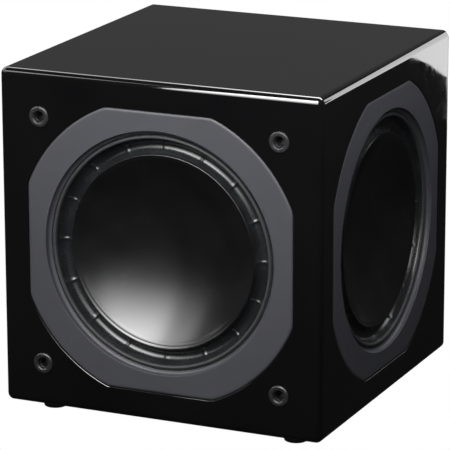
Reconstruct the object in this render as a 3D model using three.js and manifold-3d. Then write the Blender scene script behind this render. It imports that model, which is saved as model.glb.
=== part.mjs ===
// Active subwoofer: lacquered near-cube cabinet, one driven woofer in front, a pair of opposed passive
// radiators in the sides, amplifier plate in the back. Millimetres, +Z up, front towards -Y,
// origin at the bottom centre of the bounding box.
import * as THREE from "three";
import { mergeVertices } from "three/addons/utils/BufferGeometryUtils.js";
import { RoundedBoxGeometry } from "three/addons/geometries/RoundedBoxGeometry.js";
import Module from "manifold-3d";

const wasm = await Module();
wasm.setup();

// ---- cabinet dimensions ----
const CAB_W = 270; // width, X
const CAB_D = 271; // depth, Y
const CAB_H = 270; // height without feet, Z
const EDGE_R = 5.5; // rounding of the outer edges
const PANEL_T = 18;
const GAP = 0.3; // between pieces that lie against each other
const PAST = 3; // how far a cutter reaches past a face

const FOOT_H = 8; // below the cabinet
const FOOT_TOP_R = 12;
const FOOT_BOTTOM_R = 9;
const FOOT_PEG_R = 3.5;
const FOOT_PEG_L = 8; // above the cabinet bottom
const FOOT_HOLE_L = 9.5;
const FOOT_IN_X = 31; // foot centre from the side
const FOOT_IN_Y = 26; // foot centre from the front and the back

const SOCKET_R = 8.3; // grille socket lip
const SOCKET_PROUD = 1.4;
const SOCKET_BODY_R = 6;
const SOCKET_HOLE_R = 4;
const SOCKET_L = 12;
const SOCKET_FLOOR = 1.6;
const SOCKET_X = 100.7;
const SOCKET_FROM_BOTTOM = 34.9;
const SOCKET_FROM_TOP = 36.2;

// ---- drive unit dimensions ----
const RING_R = 120.2; // trim ring, radius of its arcs
const RING_FLAT = 111.6; // trim ring, distance of its four flats
const RING_T = 5;
const RING_LIP_R = 95.4; // trim ring, inner opening
const FLANGE_T = 3.3; // driver flange behind the ring
const FLANGE_HOLE_R = 98;
const CUTOUT_R = 104; // hole through the panel
const SEAT_R = 92; // inner edge of the frame, round the outer wall of the roll

const ROLL_IN_R = 77.65; // surround roll, inner foot
const ROLL_OUT_R = 89.55; // surround roll, outer foot
const ROLL_T = 1.2; // rubber thickness
const ROLL_BOTTOM = 14; // lowest line of the roll below the face
const ROLL_DEPTH = 7.2; // depth of the roll below its feet

const DISH_R = 77.5; // diaphragm rim
const DISH_IN = 5.5; // rim below the face
const DISH_SAG = 24; // depth of the dish
const DISH_T = 2.4;
const DISH_INNER_R = 26; // stations of the dish between its centre and its rim
const DISH_OUTER_R = 52;

const FORMER_R = 24.9; // coil former, inner
const FORMER_T = 0.6;
const FORMER_BACK = -85;
const COIL_T = 2.2;
const COIL_L = 20;
const COLLAR_L = 6; // collar behind the woofer dish
const POLE_R = 24.2;
const POLE_BORE = 8;
const PLATE_GAP_R = 28.9; // bore of the top plate
const BASKET_BACK = -68.7;
const TOP_PLATE_T = 8;
const TOP_PLATE_R = 56;
const MAGNET_R = 60;
const MAGNET_BORE = 33;
const MAGNET_T = 22;
const YOKE_T = 8;
const SPIDER_Z = -51;
const SPIDER_T = 0.8;
const SPIDER_WAVE = 1.3; // corrugation, each way
const MASS_R = 30; // tuning mass of a radiator
const MASS_T = 8;
const MASS_STUB_R = 6;
const MASS_STUB_L = 3;

// ---- amplifier dimensions, x and y in the frame of the back face ----
const AMP_W = 206; // plate
const AMP_H = 216;
const AMP_T = 3;
const AMP_CUT_W = 176; // opening behind it
const AMP_CUT_H = 186;
const KNOB_R = 9;
const KNOB_L = 14;
const KNOB_STEM_R = 3;
const KNOB_X = 38;
const KNOB_Y = 58;
const SWITCH_X = 38;
const SWITCH_Y = 18;
const SWITCH_TRAVEL = 5;
const SLIDER_W = 4; // slider of a switch, both ways
const JACK_X = 13;
const JACK_Y = -20;
const LAMP_Y = 84;
const INLET_Y = -72;
const INLET_W = 60; // part of the inlet inside the plate
const INLET_H = 28;
const INLET_PLAY = 0.4;
const ROCKER_X = 20;
const ROCKER_W = 12.4;
const ROCKER_TILT = 9; // degrees
const BOARD_FRONT = -12; // face of the board towards the plate
const BOARD_BACK = BOARD_FRONT - 1.6;

// Facets of the round pieces.
const FACETS = {
  unit: 48, // drive units
  motor: 24, // coil, magnet and the other inner round pieces
  knob: 16,
  foot: 14, // feet and the cylinders on the board
  fitting: 12, // sockets, jacks, shaft holes
  footHole: 10,
  pin: 8, // screws, lamp, narrow holes
  pilot: 6, // narrowest holes, cable
  lead: 5,
};

// ---- derived positions ----
const PLATE_IN = GAP; // faces of the amplifier plate, outwards from the back face
const PLATE_OUT = PLATE_IN + AMP_T;
const SEAT_IN = PLATE_IN - GAP; // where pieces lie against the plate
const SEAT_OUT = PLATE_OUT + GAP;
const LENGTH = SOCKET_PROUD + CAB_D + SEAT_OUT + KNOB_L;
const Y_FRONT = -LENGTH / 2 + SOCKET_PROUD;
const Y_REAR = Y_FRONT + CAB_D;
const Y_MID = (Y_FRONT + Y_REAR) / 2;
const Z_LOW = FOOT_H;
const Z_HIGH = FOOT_H + CAB_H;
const Z_MID = (Z_LOW + Z_HIGH) / 2;
const Z_FLOOR = Z_LOW + PANEL_T; // inside of the cabinet
const Z_CEILING = Z_HIGH - PANEL_T;

// ---- materials, metalness 0 where none is given ----
const LOOKS = {
  lacquer: { color: 0x060607, roughness: 0.06 },
  mdf: { color: 0x7a5f43, roughness: 0.85 },
  trim: { color: 0x333439, roughness: 0.55 },
  rubber: { color: 0x0b0b0c, roughness: 0.3 },
  softRubber: { color: 0x141415, roughness: 0.75 },
  dish: { color: 0x0a0a0b, roughness: 0.28, metalness: 0.2 },
  castFrame: { color: 0x1b1b1d, roughness: 0.6, metalness: 0.3 },
  kapton: { color: 0x8a5a22, roughness: 0.45, metalness: 0.1 },
  copper: { color: 0xa85a32, roughness: 0.35, metalness: 0.9 },
  cloth: { color: 0xc08a3a, roughness: 0.85 },
  steel: { color: 0x9a9da1, roughness: 0.35, metalness: 0.9 },
  ferrite: { color: 0x2c2c2e, roughness: 0.7, metalness: 0.1 },
  plastic: { color: 0x101011, roughness: 0.5 },
  plate: { color: 0x151516, roughness: 0.5, metalness: 0.4 },
  board: { color: 0x1c4a2c, roughness: 0.5 },
  aluminium: { color: 0xb4b6b9, roughness: 0.4, metalness: 0.8 },
  gold: { color: 0xc79a3c, roughness: 0.3, metalness: 0.9 },
  lamp: { color: 0x4fd06a, roughness: 0.25 },
  cable: { color: 0x7a1f1c, roughness: 0.6 },
  screw: { color: 0x1a1a1b, roughness: 0.4, metalness: 0.7 },
};

// ---- solids ----
// A Manifold from a closed geometry: vertices welded, collapsed triangles left out.
function solid(geometry) {
  const bare = geometry.clone();
  bare.deleteAttribute("normal");
  if (bare.getAttribute("uv")) bare.deleteAttribute("uv");
  const merged = mergeVertices(bare, 1e-4);
  const index = merged.index.array;
  const triangles = [];
  for (let i = 0; i < index.length; i += 3) {
    const corners = [index[i], index[i + 1], index[i + 2]];
    if (new Set(corners).size === 3) triangles.push(...corners);
  }
  return new wasm.Manifold(
    new wasm.Mesh({
      numProp: 3,
      vertProperties: merged.getAttribute("position").array,
      triVerts: new Uint32Array(triangles),
    }),
  );
}

const toVectors = (points) => points.map(([x, y]) => new THREE.Vector2(x, y));

// A solid of revolution about Z from [radius, z] points, starting and ending on the axis or closed here.
function lathe(points, segments, phase = 0) {
  const onAxis = points[0][0] === 0 && points[points.length - 1][0] === 0;
  const profile = onAxis ? points : [...points, points[0]];
  const turn = (rows) =>
    solid(new THREE.LatheGeometry(toVectors(rows), segments, phase).rotateX(Math.PI / 2));
  const first = turn(profile);
  return first.volume() < 0 ? turn([...profile].reverse()) : first;
}

// A round tube about Z with a rectangular section.
function tube(inner, outer, front, back) {
  const section = [
    [inner, front],
    [outer, front],
    [outer, back],
    [inner, back],
  ];
  return lathe(section, FACETS.motor);
}

function extrude(shape, depth) {
  return new THREE.ExtrudeGeometry(shape, { depth, bevelEnabled: false });
}

// An outline of [x, y] points, with outlines of holes, extruded along Z from z0 to z1.
function prism(outline, z0, z1, holes = []) {
  const shape = new THREE.Shape(toVectors(outline));
  for (const hole of holes) shape.holes.push(new THREE.Path(toVectors(hole)));
  return solid(extrude(shape, z1 - z0).translate(0, 0, z0));
}

// Geometry of an outline of [x, z] points extruded along Y, centred on it.
function bar(outline, length) {
  return extrude(new THREE.Shape(toVectors(outline)), length)
    .translate(0, 0, -length / 2)
    .rotateX(Math.PI / 2);
}

function box(x0, x1, y0, y1, z0, z1) {
  const geometry = new THREE.BoxGeometry(x1 - x0, y1 - y0, z1 - z0);
  return solid(geometry.translate((x0 + x1) / 2, (y0 + y1) / 2, (z0 + z1) / 2));
}

// A box centred on x, y.
function block(x, y, width, height, z0, z1) {
  return box(x - width / 2, x + width / 2, y - height / 2, y + height / 2, z0, z1);
}

function rod(x, y, z0, z1, radius, segments) {
  const geometry = new THREE.CylinderGeometry(radius, radius, z1 - z0, segments);
  return solid(geometry.rotateX(Math.PI / 2).translate(x, y, (z0 + z1) / 2));
}

const union = (list) => list.reduce((sum, part) => sum.add(part));
const cut = (body, list) => list.reduce((rest, tool) => rest.subtract(tool), body);
const bothSides = (make) => [-1, 1].map(make);

const polar = (radius, angle) => [radius * Math.cos(angle), radius * Math.sin(angle)];

function polygon(radius, sides) {
  return Array.from({ length: sides }, (_, i) => polar(radius, (i / sides) * 2 * Math.PI));
}

// A circle cut off by four flats at the given distance.
function cutCircle(radius, flat) {
  const steps = 9;
  const half = Math.acos(flat / radius);
  const outline = [];
  for (let quarter = 0; quarter < 4; quarter++) {
    const start = (quarter * Math.PI) / 2 + half;
    const end = ((quarter + 1) * Math.PI) / 2 - half;
    for (let i = 0; i <= steps; i++) {
      outline.push(polar(radius, start + ((end - start) * i) / steps));
    }
  }
  return outline;
}

function roundedRect(width, height, radius) {
  const steps = 2;
  const outline = [];
  const signs = [[1, 1], [-1, 1], [-1, -1], [1, -1]];
  signs.forEach(([signX, signY], quarter) => {
    for (let i = 0; i <= steps; i++) {
      const [x, y] = polar(radius, ((quarter + i / steps) * Math.PI) / 2);
      outline.push([signX * (width / 2 - radius) + x, signY * (height / 2 - radius) + y]);
    }
  });
  return outline;
}

// A polygonal lead along a curve through the given points.
function lead(points, radius, steps, sides) {
  const extrudePath = new THREE.CatmullRomCurve3(points.map((p) => new THREE.Vector3(...p)));
  const section = new THREE.Shape(toVectors(polygon(radius, sides)));
  return solid(new THREE.ExtrudeGeometry(section, { steps, bevelEnabled: false, extrudePath }));
}

// ---- local frames: x to the right as seen from outside, y up (+Y on top and bottom), z outwards ----
function frameOf(x, y, z, origin) {
  return new THREE.Matrix4()
    .makeBasis(new THREE.Vector3(...x), new THREE.Vector3(...y), new THREE.Vector3(...z))
    .setPosition(...origin);
}
const FRONT = frameOf([1, 0, 0], [0, 0, 1], [0, -1, 0], [0, Y_FRONT, Z_MID]);
const RIGHT = frameOf([0, 1, 0], [0, 0, 1], [1, 0, 0], [CAB_W / 2, Y_MID, Z_MID]);
const LEFT = frameOf([0, -1, 0], [0, 0, 1], [-1, 0, 0], [-CAB_W / 2, Y_MID, Z_MID]);
const REAR = frameOf([-1, 0, 0], [0, 0, 1], [0, 1, 0], [0, Y_REAR, Z_MID]);
const TOP = frameOf([1, 0, 0], [0, 1, 0], [0, 0, 1], [0, Y_MID, Z_HIGH]);
const BOTTOM = frameOf([-1, 0, 0], [0, 1, 0], [0, 0, -1], [0, Y_MID, Z_LOW]);
const WORLD = new THREE.Matrix4();

const subwoofer = new THREE.Group();
subwoofer.name = "subwoofer";

// The geometry of a solid, moved from its frame to the world.
function place(body, frame) {
  const mesh = body.getMesh();
  const geometry = new THREE.BufferGeometry();
  const positions = new Float32Array(mesh.vertProperties);
  geometry.setAttribute("position", new THREE.BufferAttribute(positions, 3));
  geometry.setIndex(new THREE.BufferAttribute(new Uint32Array(mesh.triVerts), 1));
  return geometry.applyMatrix4(frame);
}

// Adds a piece to the group, with flat shading normals.
function add(name, body, look, frame = WORLD) {
  const geometry = place(body, frame).toNonIndexed();
  geometry.computeVertexNormals();
  const mesh = new THREE.Mesh(geometry, new THREE.MeshStandardMaterial(LOOKS[look]));
  mesh.name = name;
  subwoofer.add(mesh);
}

const inWorld = (body, frame) => solid(place(body, frame));

// ---- places of the sockets, feet and screws ----
// [name, x, y] of a left and a right piece in each row [row name, y].
function cornerSpots(prefix, halfX, rows) {
  return rows.flatMap(([row, y]) => [
    [`${prefix}_${row}_left`, -halfX, y],
    [`${prefix}_${row}_right`, halfX, y],
  ]);
}
const socketSpots = cornerSpots("grille_socket", SOCKET_X, [
  ["top", CAB_H / 2 - SOCKET_FROM_TOP],
  ["bottom", -CAB_H / 2 + SOCKET_FROM_BOTTOM],
]);
const footSpots = cornerSpots("foot", CAB_W / 2 - FOOT_IN_X, [
  ["front", Y_FRONT + FOOT_IN_Y],
  ["rear", Y_REAR - FOOT_IN_Y],
]);
// x, y in the frame of the back face
const screwSpots = [
  [-94, 99], [0, 101], [94, 99],
  [-96, 0], [96, 0],
  [-94, -99], [0, -101], [94, -99],
];

// ---- cabinet ----
const shell = solid(
  new RoundedBoxGeometry(CAB_W, CAB_D, CAB_H, 2, EDGE_R).translate(0, Y_MID, Z_MID),
).subtract(
  box(
    -CAB_W / 2 + PANEL_T,
    CAB_W / 2 - PANEL_T,
    Y_FRONT + PANEL_T,
    Y_REAR - PANEL_T,
    Z_FLOOR,
    Z_CEILING,
  ),
);

// One mitred panel: what of the shell lies nearer to this face than to its four neighbours,
// less the cutters given in the frame of the face.
function panel(frame, width, height, cutters = []) {
  const out = 2;
  const deep = 40;
  const extra = 20; // wedge length past the panel
  const inset = (GAP / 2) * Math.SQRT2;
  const wedge = (half) => [
    [-half - out + inset, out],
    [half + out - inset, out],
    [half - deep - inset, -deep],
    [-half + deep + inset, -deep],
  ];
  const across = solid(bar(wedge(width / 2), height + extra));
  const along = solid(bar(wedge(height / 2), width + extra).rotateZ(Math.PI / 2));
  const board = shell.intersect(inWorld(across.intersect(along), frame));
  return cut(board, cutters.map((cutter) => inWorld(cutter, frame)));
}

// Rebate for the ring and flange, and the hole through the panel.
const rebateDepth = RING_T + GAP + FLANGE_T + GAP;
const driverHole = union([
  prism(cutCircle(RING_R + GAP, RING_FLAT + GAP), -rebateDepth, PAST),
  rod(0, 0, -PANEL_T - PAST, PAST, CUTOUT_R, FACETS.unit),
]);

const socketHoles = socketSpots.map(([, x, y]) =>
  rod(x, y, -SOCKET_L - GAP, PAST, SOCKET_BODY_R + GAP, FACETS.fitting),
);
add("front_baffle", panel(FRONT, CAB_W, CAB_H, [driverHole, ...socketHoles]), "lacquer");
add("right_panel", panel(RIGHT, CAB_D, CAB_H, [driverHole]), "lacquer");
add("left_panel", panel(LEFT, CAB_D, CAB_H, [driverHole]), "lacquer");
add("top_panel", panel(TOP, CAB_W, CAB_D), "lacquer");

const footHoles = footSpots.map(([, x, y]) =>
  rod(x, y, Z_LOW - 2, Z_LOW + FOOT_HOLE_L, FOOT_PEG_R + GAP, FACETS.footHole),
);
add("bottom_panel", cut(panel(BOTTOM, CAB_W, CAB_D), footHoles), "lacquer");

const rearCutters = [
  prism(roundedRect(AMP_CUT_W, AMP_CUT_H, 10), -PANEL_T - PAST, PAST),
  ...screwSpots.map(([x, y]) => rod(x, y, -13, PAST, 2.2, FACETS.pilot)),
];
add("rear_panel", panel(REAR, CAB_W, CAB_H, rearCutters), "lacquer");

// A board from the bottom panel to the top panel behind the motor, with two openings.
function brace() {
  const front = Y_FRONT + 118;
  const back = front + PANEL_T;
  const opening = (z0, z1) => box(-22, 22, front - 18, back + 14, z0, z1);
  return cut(box(-40, 40, front, back, Z_FLOOR + GAP, Z_CEILING - GAP), [
    opening(Z_MID - 90, Z_MID - 12),
    opening(Z_MID + 12, Z_MID + 90),
  ]);
}
add("brace", brace(), "mdf");

// ---- grille sockets and feet ----
const socket = lathe(
  [
    [0, -SOCKET_L],
    [SOCKET_BODY_R, -SOCKET_L],
    [SOCKET_BODY_R, GAP],
    [SOCKET_R, GAP],
    [SOCKET_R - 1, SOCKET_PROUD],
    [SOCKET_HOLE_R + 0.8, SOCKET_PROUD],
    [SOCKET_HOLE_R, 0.6],
    [SOCKET_HOLE_R, -SOCKET_L + SOCKET_FLOOR],
    [0, -SOCKET_L + SOCKET_FLOOR],
  ],
  FACETS.fitting,
);
for (const [name, x, y] of socketSpots) {
  add(name, socket.translate([x, y, 0]), "softRubber", FRONT);
}

const foot = lathe(
  [
    [0, 0],
    [FOOT_BOTTOM_R, 0],
    [FOOT_TOP_R, FOOT_H - GAP],
    [FOOT_PEG_R, FOOT_H - GAP],
    [FOOT_PEG_R, FOOT_H + FOOT_PEG_L],
    [0, FOOT_H + FOOT_PEG_L],
  ],
  FACETS.foot,
);
for (const [name, x, y] of footSpots) add(name, foot.translate([x, y, 0]), "softRubber");

// ---- pieces shared by the three drive units ----
const trimRing = prism(cutCircle(RING_R, RING_FLAT), -RING_T, 0).subtract(
  lathe(
    [
      [0, 2],
      [RING_LIP_R + 0.8, 2],
      [RING_LIP_R + 0.8, 0],
      [RING_LIP_R, -0.9],
      [RING_LIP_R, -RING_T - 2],
      [0, -RING_T - 2],
    ],
    FACETS.unit,
  ),
);

// A frame with its flange; the [radius, z] points run from the outer shoulder round to the seat.
const FLANGE_FRONT = -RING_T - GAP;
const FLANGE_BACK = FLANGE_FRONT - FLANGE_T;
function unitFrame(points) {
  const land = FLANGE_HOLE_R + 0.5; // overlaps the flange
  const outline = cutCircle(RING_R - GAP, RING_FLAT - GAP);
  const hole = polygon(FLANGE_HOLE_R, FACETS.unit);
  return lathe(
    [
      [SEAT_R, FLANGE_FRONT],
      [land, FLANGE_FRONT],
      [land, FLANGE_BACK],
      [102.5, FLANGE_BACK],
      ...points,
      [SEAT_R, FLANGE_BACK],
    ],
    FACETS.unit,
  ).add(prism(outline, FLANGE_BACK, FLANGE_FRONT, [hole]));
}

// Roll turned inwards, a trough between the rim of the dish and the ring. Its outer land lies on the
// driver flange and carries a raised bead; its inner land is behind the rim of the dish.
function surroundProfile() {
  const middle = (ROLL_IN_R + ROLL_OUT_R) / 2;
  const half = (ROLL_OUT_R - ROLL_IN_R) / 2;
  const trough = (degrees, offset) => {
    const angle = THREE.MathUtils.degToRad(degrees);
    return [
      middle + (half + offset) * Math.cos(angle),
      ROLL_DEPTH - ROLL_BOTTOM + (ROLL_DEPTH + offset) * Math.sin(angle),
    ];
  };
  return [
    ...[180, 210, 240, 270, 300, 330, 360].map((degrees) => trough(degrees, 0)),
    [89.8, -4.8], [90.3, -3.8], [91.3, -3.45], [92.3, -3.8], [92.7, -4.4],
    [93.8, -4.4], [93.8, -5], [ROLL_OUT_R + ROLL_T, -5],
    ...[360, 325, 290, 250, 215].map((degrees) => trough(degrees, ROLL_T)),
    [ROLL_IN_R - 1, -8.4], [73.8, -9.2], [73.8, -8],
  ];
}
const surround = lathe(surroundProfile(), FACETS.unit);

// z of the front and the back of the dish, a spherical bowl open to the front.
const dishSphere = (DISH_R * DISH_R + DISH_SAG * DISH_SAG) / (2 * DISH_SAG);
function dishFront(radius) {
  const rise = dishSphere - Math.sqrt(dishSphere * dishSphere - radius * radius);
  return rise - DISH_IN - DISH_SAG;
}
const dishBack = (radius) => dishFront(radius) - DISH_T;

// The points given go into the back of the dish, between its outer station and its centre.
function dish(backPoints) {
  const frontRadii = [0, DISH_INNER_R, DISH_OUTER_R, DISH_R - 1.2];
  const profile = [
    ...frontRadii.map((radius) => [radius, dishFront(radius)]),
    [DISH_R, -DISH_IN - 0.1],
    [DISH_R, -DISH_IN - 0.8],
    [73.4, -DISH_IN - 2],
    [DISH_OUTER_R, dishBack(DISH_OUTER_R)],
    ...backPoints,
    [0, dishBack(0)],
  ];
  return lathe(profile, FACETS.unit, Math.PI / FACETS.unit);
}

// ---- woofer ----
const FORMER_OUT_R = FORMER_R + FORMER_T;
const COLLAR_R = FORMER_OUT_R + GAP; // bore of the pieces round the former
const TERMINAL = { halfX: 13, bottom: -88, top: -68, back: -46, front: -38 };

function basket() {
  const body = unitFrame([
    [98, -13],
    [84, -36],
    [67, -52],
    [61, -56],
    [60, BASKET_BACK],
    [34, BASKET_BACK],
    [34, BASKET_BACK + 2.5],
    [57.5, BASKET_BACK + 2.5],
    [57.5, -52.5],
    [63.2, -52.5],
    [81, -34.5],
    [95.2, -12],
  ]);
  // six windows, their sides set in from rays at this angle each way
  const slope = Math.tan(THREE.MathUtils.degToRad(21));
  const side = (x) => x * slope - 3;
  const inner = 58;
  const outer = 120;
  const window = prism(
    [
      [inner, -side(inner)],
      [outer, -side(outer)],
      [outer, side(outer)],
      [inner, side(inner)],
    ],
    -47.5,
    -15,
  );
  const windows = [0, 60, 120, 180, 240, 300].map((degrees) => window.rotate([0, 0, degrees]));
  // seat for the terminal block, in the spoke at the bottom
  const { halfX, back, front } = TERMINAL;
  const seat = box(-halfX - GAP, halfX + GAP, -92, -66, back - GAP, front + GAP);
  return cut(body, [...windows, seat]);
}

// Dish with a collar behind it that the former is glued into.
function wooferDish() {
  const root = dishBack(DISH_INNER_R);
  return dish([
    [FORMER_OUT_R + 2, root],
    [FORMER_OUT_R + 1.6, root - COLLAR_L],
    [COLLAR_R, root - COLLAR_L],
    [COLLAR_R, root],
  ]);
}

function spider() {
  const waves = [30, 37, 44, 51].map((radius, i) => [
    radius,
    SPIDER_Z + (i % 2 ? SPIDER_WAVE : -SPIDER_WAVE),
  ]);
  const shifted = (dz) => waves.map(([radius, z]) => [radius, z + dz]);
  return lathe(
    [
      [COLLAR_R, SPIDER_Z + 2.4],
      [COLLAR_R + 0.9, SPIDER_Z + 2.4],
      ...shifted(SPIDER_T / 2),
      [57, -51.4],
      [62.6, -51.4],
      [62.6, -52.2],
      [57, -52.2],
      ...shifted(-SPIDER_T / 2).reverse(),
      [COLLAR_R, SPIDER_Z - SPIDER_T / 2],
    ],
    FACETS.unit,
  );
}

// The motor, stacked backwards from the basket.
const topPlateFront = BASKET_BACK - GAP;
const topPlateBack = topPlateFront - TOP_PLATE_T;
const magnetFront = topPlateBack - GAP;
const magnetBack = magnetFront - MAGNET_T;
const yokeFront = magnetBack - GAP;
const coilMid = topPlateFront - TOP_PLATE_T / 2;
const coilInR = FORMER_OUT_R + GAP / 2;

// Back plate and bored pole in one.
function yoke() {
  const poleFront = topPlateFront + 1;
  return lathe(
    [
      [POLE_BORE, poleFront],
      [POLE_R, poleFront],
      [POLE_R, yokeFront],
      [TOP_PLATE_R, yokeFront],
      [TOP_PLATE_R, yokeFront - YOKE_T],
      [POLE_BORE, yokeFront - YOKE_T],
    ],
    FACETS.motor,
  );
}

// Block with two tabs pointing down.
function terminal() {
  const { halfX, bottom, top, back, front } = TERMINAL;
  return union([
    box(-halfX, halfX, bottom, top, back, front),
    ...bothSides((side) => block(side * 7, -89.5, 4, 5, -43, -41.8)),
  ]);
}

const wooferLead = (side) =>
  lead(
    [
      [side * 8, -67.6, -42],
      [side * 8.2, -60, -39.5],
      [side * 7, -48, -37.8],
      [side * 5.4, -37, -39.5],
      [side * 4.4, -27.4, -42.5],
    ],
    0.9,
    8,
    FACETS.lead,
  );

const former = tube(FORMER_R, FORMER_OUT_R, dishBack(FORMER_R) - GAP, FORMER_BACK);
const coil = tube(coilInR, coilInR + COIL_T, coilMid + COIL_L / 2, coilMid - COIL_L / 2);
const topPlate = tube(PLATE_GAP_R, TOP_PLATE_R, topPlateFront, topPlateBack);
const magnet = tube(MAGNET_BORE, MAGNET_R, magnetFront, magnetBack);
add("woofer_trim_ring", trimRing, "trim", FRONT);
add("woofer_basket", basket(), "castFrame", FRONT);
add("woofer_surround", surround, "rubber", FRONT);
add("woofer_diaphragm", wooferDish(), "dish", FRONT);
add("woofer_former", former, "kapton", FRONT);
add("woofer_coil", coil, "copper", FRONT);
add("woofer_spider", spider(), "cloth", FRONT);
add("woofer_top_plate", topPlate, "steel", FRONT);
add("woofer_magnet", magnet, "ferrite", FRONT);
add("woofer_yoke", yoke(), "steel", FRONT);
add("woofer_terminal", terminal(), "plastic", FRONT);
add("woofer_lead_a", wooferLead(-1), "copper", FRONT);
add("woofer_lead_b", wooferLead(1), "copper", FRONT);

// ---- passive radiators ----
const radiatorFrame = unitFrame([
  [97, -26],
  [93, -26],
  [93, -13],
]);
const radiatorDish = dish([[24, dishBack(24)]]);

// Disc with a stub behind it.
const massFront = dishBack(0) - GAP;
const massBack = massFront - MASS_T;
const radiatorMass = lathe(
  [
    [0, massFront],
    [MASS_R, massFront],
    [MASS_R, massBack],
    [MASS_STUB_R, massBack],
    [MASS_STUB_R, massBack - MASS_STUB_L],
    [0, massBack - MASS_STUB_L],
  ],
  FACETS.motor,
);

for (const [side, frame] of [["right", RIGHT], ["left", LEFT]]) {
  add(`${side}_trim_ring`, trimRing, "trim", frame);
  add(`${side}_radiator_frame`, radiatorFrame, "castFrame", frame);
  add(`${side}_radiator_surround`, surround, "rubber", frame);
  add(`${side}_radiator_diaphragm`, radiatorDish, "dish", frame);
  add(`${side}_radiator_mass`, radiatorMass, "steel", frame);
}

// ---- amplifier, in the frame of the back face ----
const SLOT_W = SLIDER_W + 2 * GAP;
const SLOT_H = SLOT_W + SWITCH_TRAVEL;

function ampPlate() {
  const from = PLATE_IN - 1;
  const to = PLATE_OUT + 1;
  const hole = (x, y, radius, segments) => rod(x, y, from, to, radius, segments);
  const opening = (x, y, width, height) => block(x, y, width, height, from, to);
  return cut(prism(roundedRect(AMP_W, AMP_H, 6), PLATE_IN, PLATE_OUT), [
    ...screwSpots.map(([x, y]) => hole(x, y, 2.4, FACETS.pin)),
    ...bothSides((side) => hole(side * KNOB_X, KNOB_Y, 3.8, FACETS.fitting)),
    ...bothSides((side) => opening(side * SWITCH_X, SWITCH_Y, 4.8, SLOT_H)),
    ...bothSides((side) => hole(side * JACK_X, JACK_Y, 4.8, FACETS.fitting)),
    hole(0, LAMP_Y, 2, FACETS.pin),
    opening(0, INLET_Y, INLET_W + 2 * INLET_PLAY, INLET_H + 2 * INLET_PLAY),
  ]);
}
add("amp_plate", ampPlate(), "plate", REAR);

// Board with the pots and switch bodies towards the plate, two cylinders and a block behind.
function ampBoard() {
  const root = BOARD_FRONT - 0.5; // sunk into the board
  const pot = (x) =>
    block(x, KNOB_Y - 1, 16, 16, root, SEAT_IN).subtract(
      rod(x, KNOB_Y, -8.5, PAST, 3.5, FACETS.fitting),
    );
  const switchBody = (x) =>
    block(x, SWITCH_Y, 10, 20, root, SEAT_IN).subtract(
      block(x, SWITCH_Y, SLOT_W, SLOT_H, -7, PAST),
    );
  const board = union([
    box(-62, 62, -38, 90, BOARD_BACK, BOARD_FRONT),
    ...bothSides((side) => pot(side * KNOB_X)),
    ...bothSides((side) => switchBody(side * SWITCH_X)),
    ...bothSides((side) => rod(side * 44, -22, -42, BOARD_FRONT - 1, 11, FACETS.foot)),
    box(-10, 10, 74, 84, -28, BOARD_FRONT - 1),
  ]);
  return cut(board, [
    ...bothSides((side) => rod(side * JACK_X, JACK_Y, -20, 0, 3.4, FACETS.pin)),
    rod(0, LAMP_Y, -20, 0, 1.2, FACETS.pilot),
  ]);
}
add("amp_board", ampBoard(), "board", REAR);

function heatsink() {
  const fins = [];
  for (let i = 0; i < 8; i++) {
    const x = (i - 3.5) * 15;
    fins.push(box(x - 1.25, x + 1.25, 0, 66, -40, -17));
  }
  return union([box(-54, 54, 0, 66, -18, BOARD_BACK - GAP), ...fins]);
}
add("amp_heatsink", heatsink(), "aluminium", REAR);

// Transformer on the bottom panel, in world axes: mounting plate, tall block, lower longer block.
function transformer() {
  const base = Z_FLOOR + GAP;
  return union([
    box(-34, 34, Y_REAR - 84, Y_REAR - 40, base, base + 2),
    box(-28, 28, Y_REAR - 80, Y_REAR - 58, base + 1, Z_FLOOR + 48),
    box(-18, 18, Y_REAR - 83, Y_REAR - 49, Z_FLOOR + 8, Z_FLOOR + 41),
  ]);
}
add("amp_transformer", transformer(), "steel");

// Knob on its stem, with a pointer groove towards +y.
function knob() {
  const end = SEAT_OUT + KNOB_L;
  const body = lathe(
    [
      [0, -8],
      [KNOB_STEM_R, -8],
      [KNOB_STEM_R, SEAT_OUT],
      [KNOB_R, SEAT_OUT],
      [KNOB_R - 1, end - 1],
      [KNOB_R - 2, end],
      [0, end],
    ],
    FACETS.knob,
  );
  return body.subtract(box(-0.6, 0.6, 3.2, KNOB_R + 1, end - 0.8, end + 1));
}
// at rest the volume pointer is at the low end of its scale and the crossover pointer in the middle
const volumeKnob = knob().rotate([0, 0, 150]).translate([-KNOB_X, KNOB_Y, 0]);
add("volume_knob", volumeKnob, "plastic", REAR);
add("crossover_knob", knob().translate([KNOB_X, KNOB_Y, 0]), "plastic", REAR);

// Slider at the lower end of its slot.
const slider = (x) =>
  block(x, SWITCH_Y - SWITCH_TRAVEL / 2, SLIDER_W, SLIDER_W, -6.5, PLATE_OUT + 3.2);
add("phase_switch", slider(-SWITCH_X), "plastic", REAR);
add("auto_switch", slider(SWITCH_X), "plastic", REAR);

const jack = lathe(
  [
    [0, -8],
    [1.6, -8],
    [1.6, PLATE_OUT + 8.6],
    [4.1, PLATE_OUT + 8.6],
    [4.1, PLATE_OUT + 1.8],
    [6.6, PLATE_OUT + 1.8],
    [6.6, SEAT_OUT],
    [4.2, SEAT_OUT],
    [4.2, SEAT_IN],
    [6.8, SEAT_IN],
    [6.8, BOARD_FRONT + GAP],
    [0, BOARD_FRONT + GAP],
  ],
  FACETS.fitting,
);
add("line_jack_left", jack.translate([-JACK_X, JACK_Y, 0]), "gold", REAR);
add("line_jack_right", jack.translate([JACK_X, JACK_Y, 0]), "gold", REAR);

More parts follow.
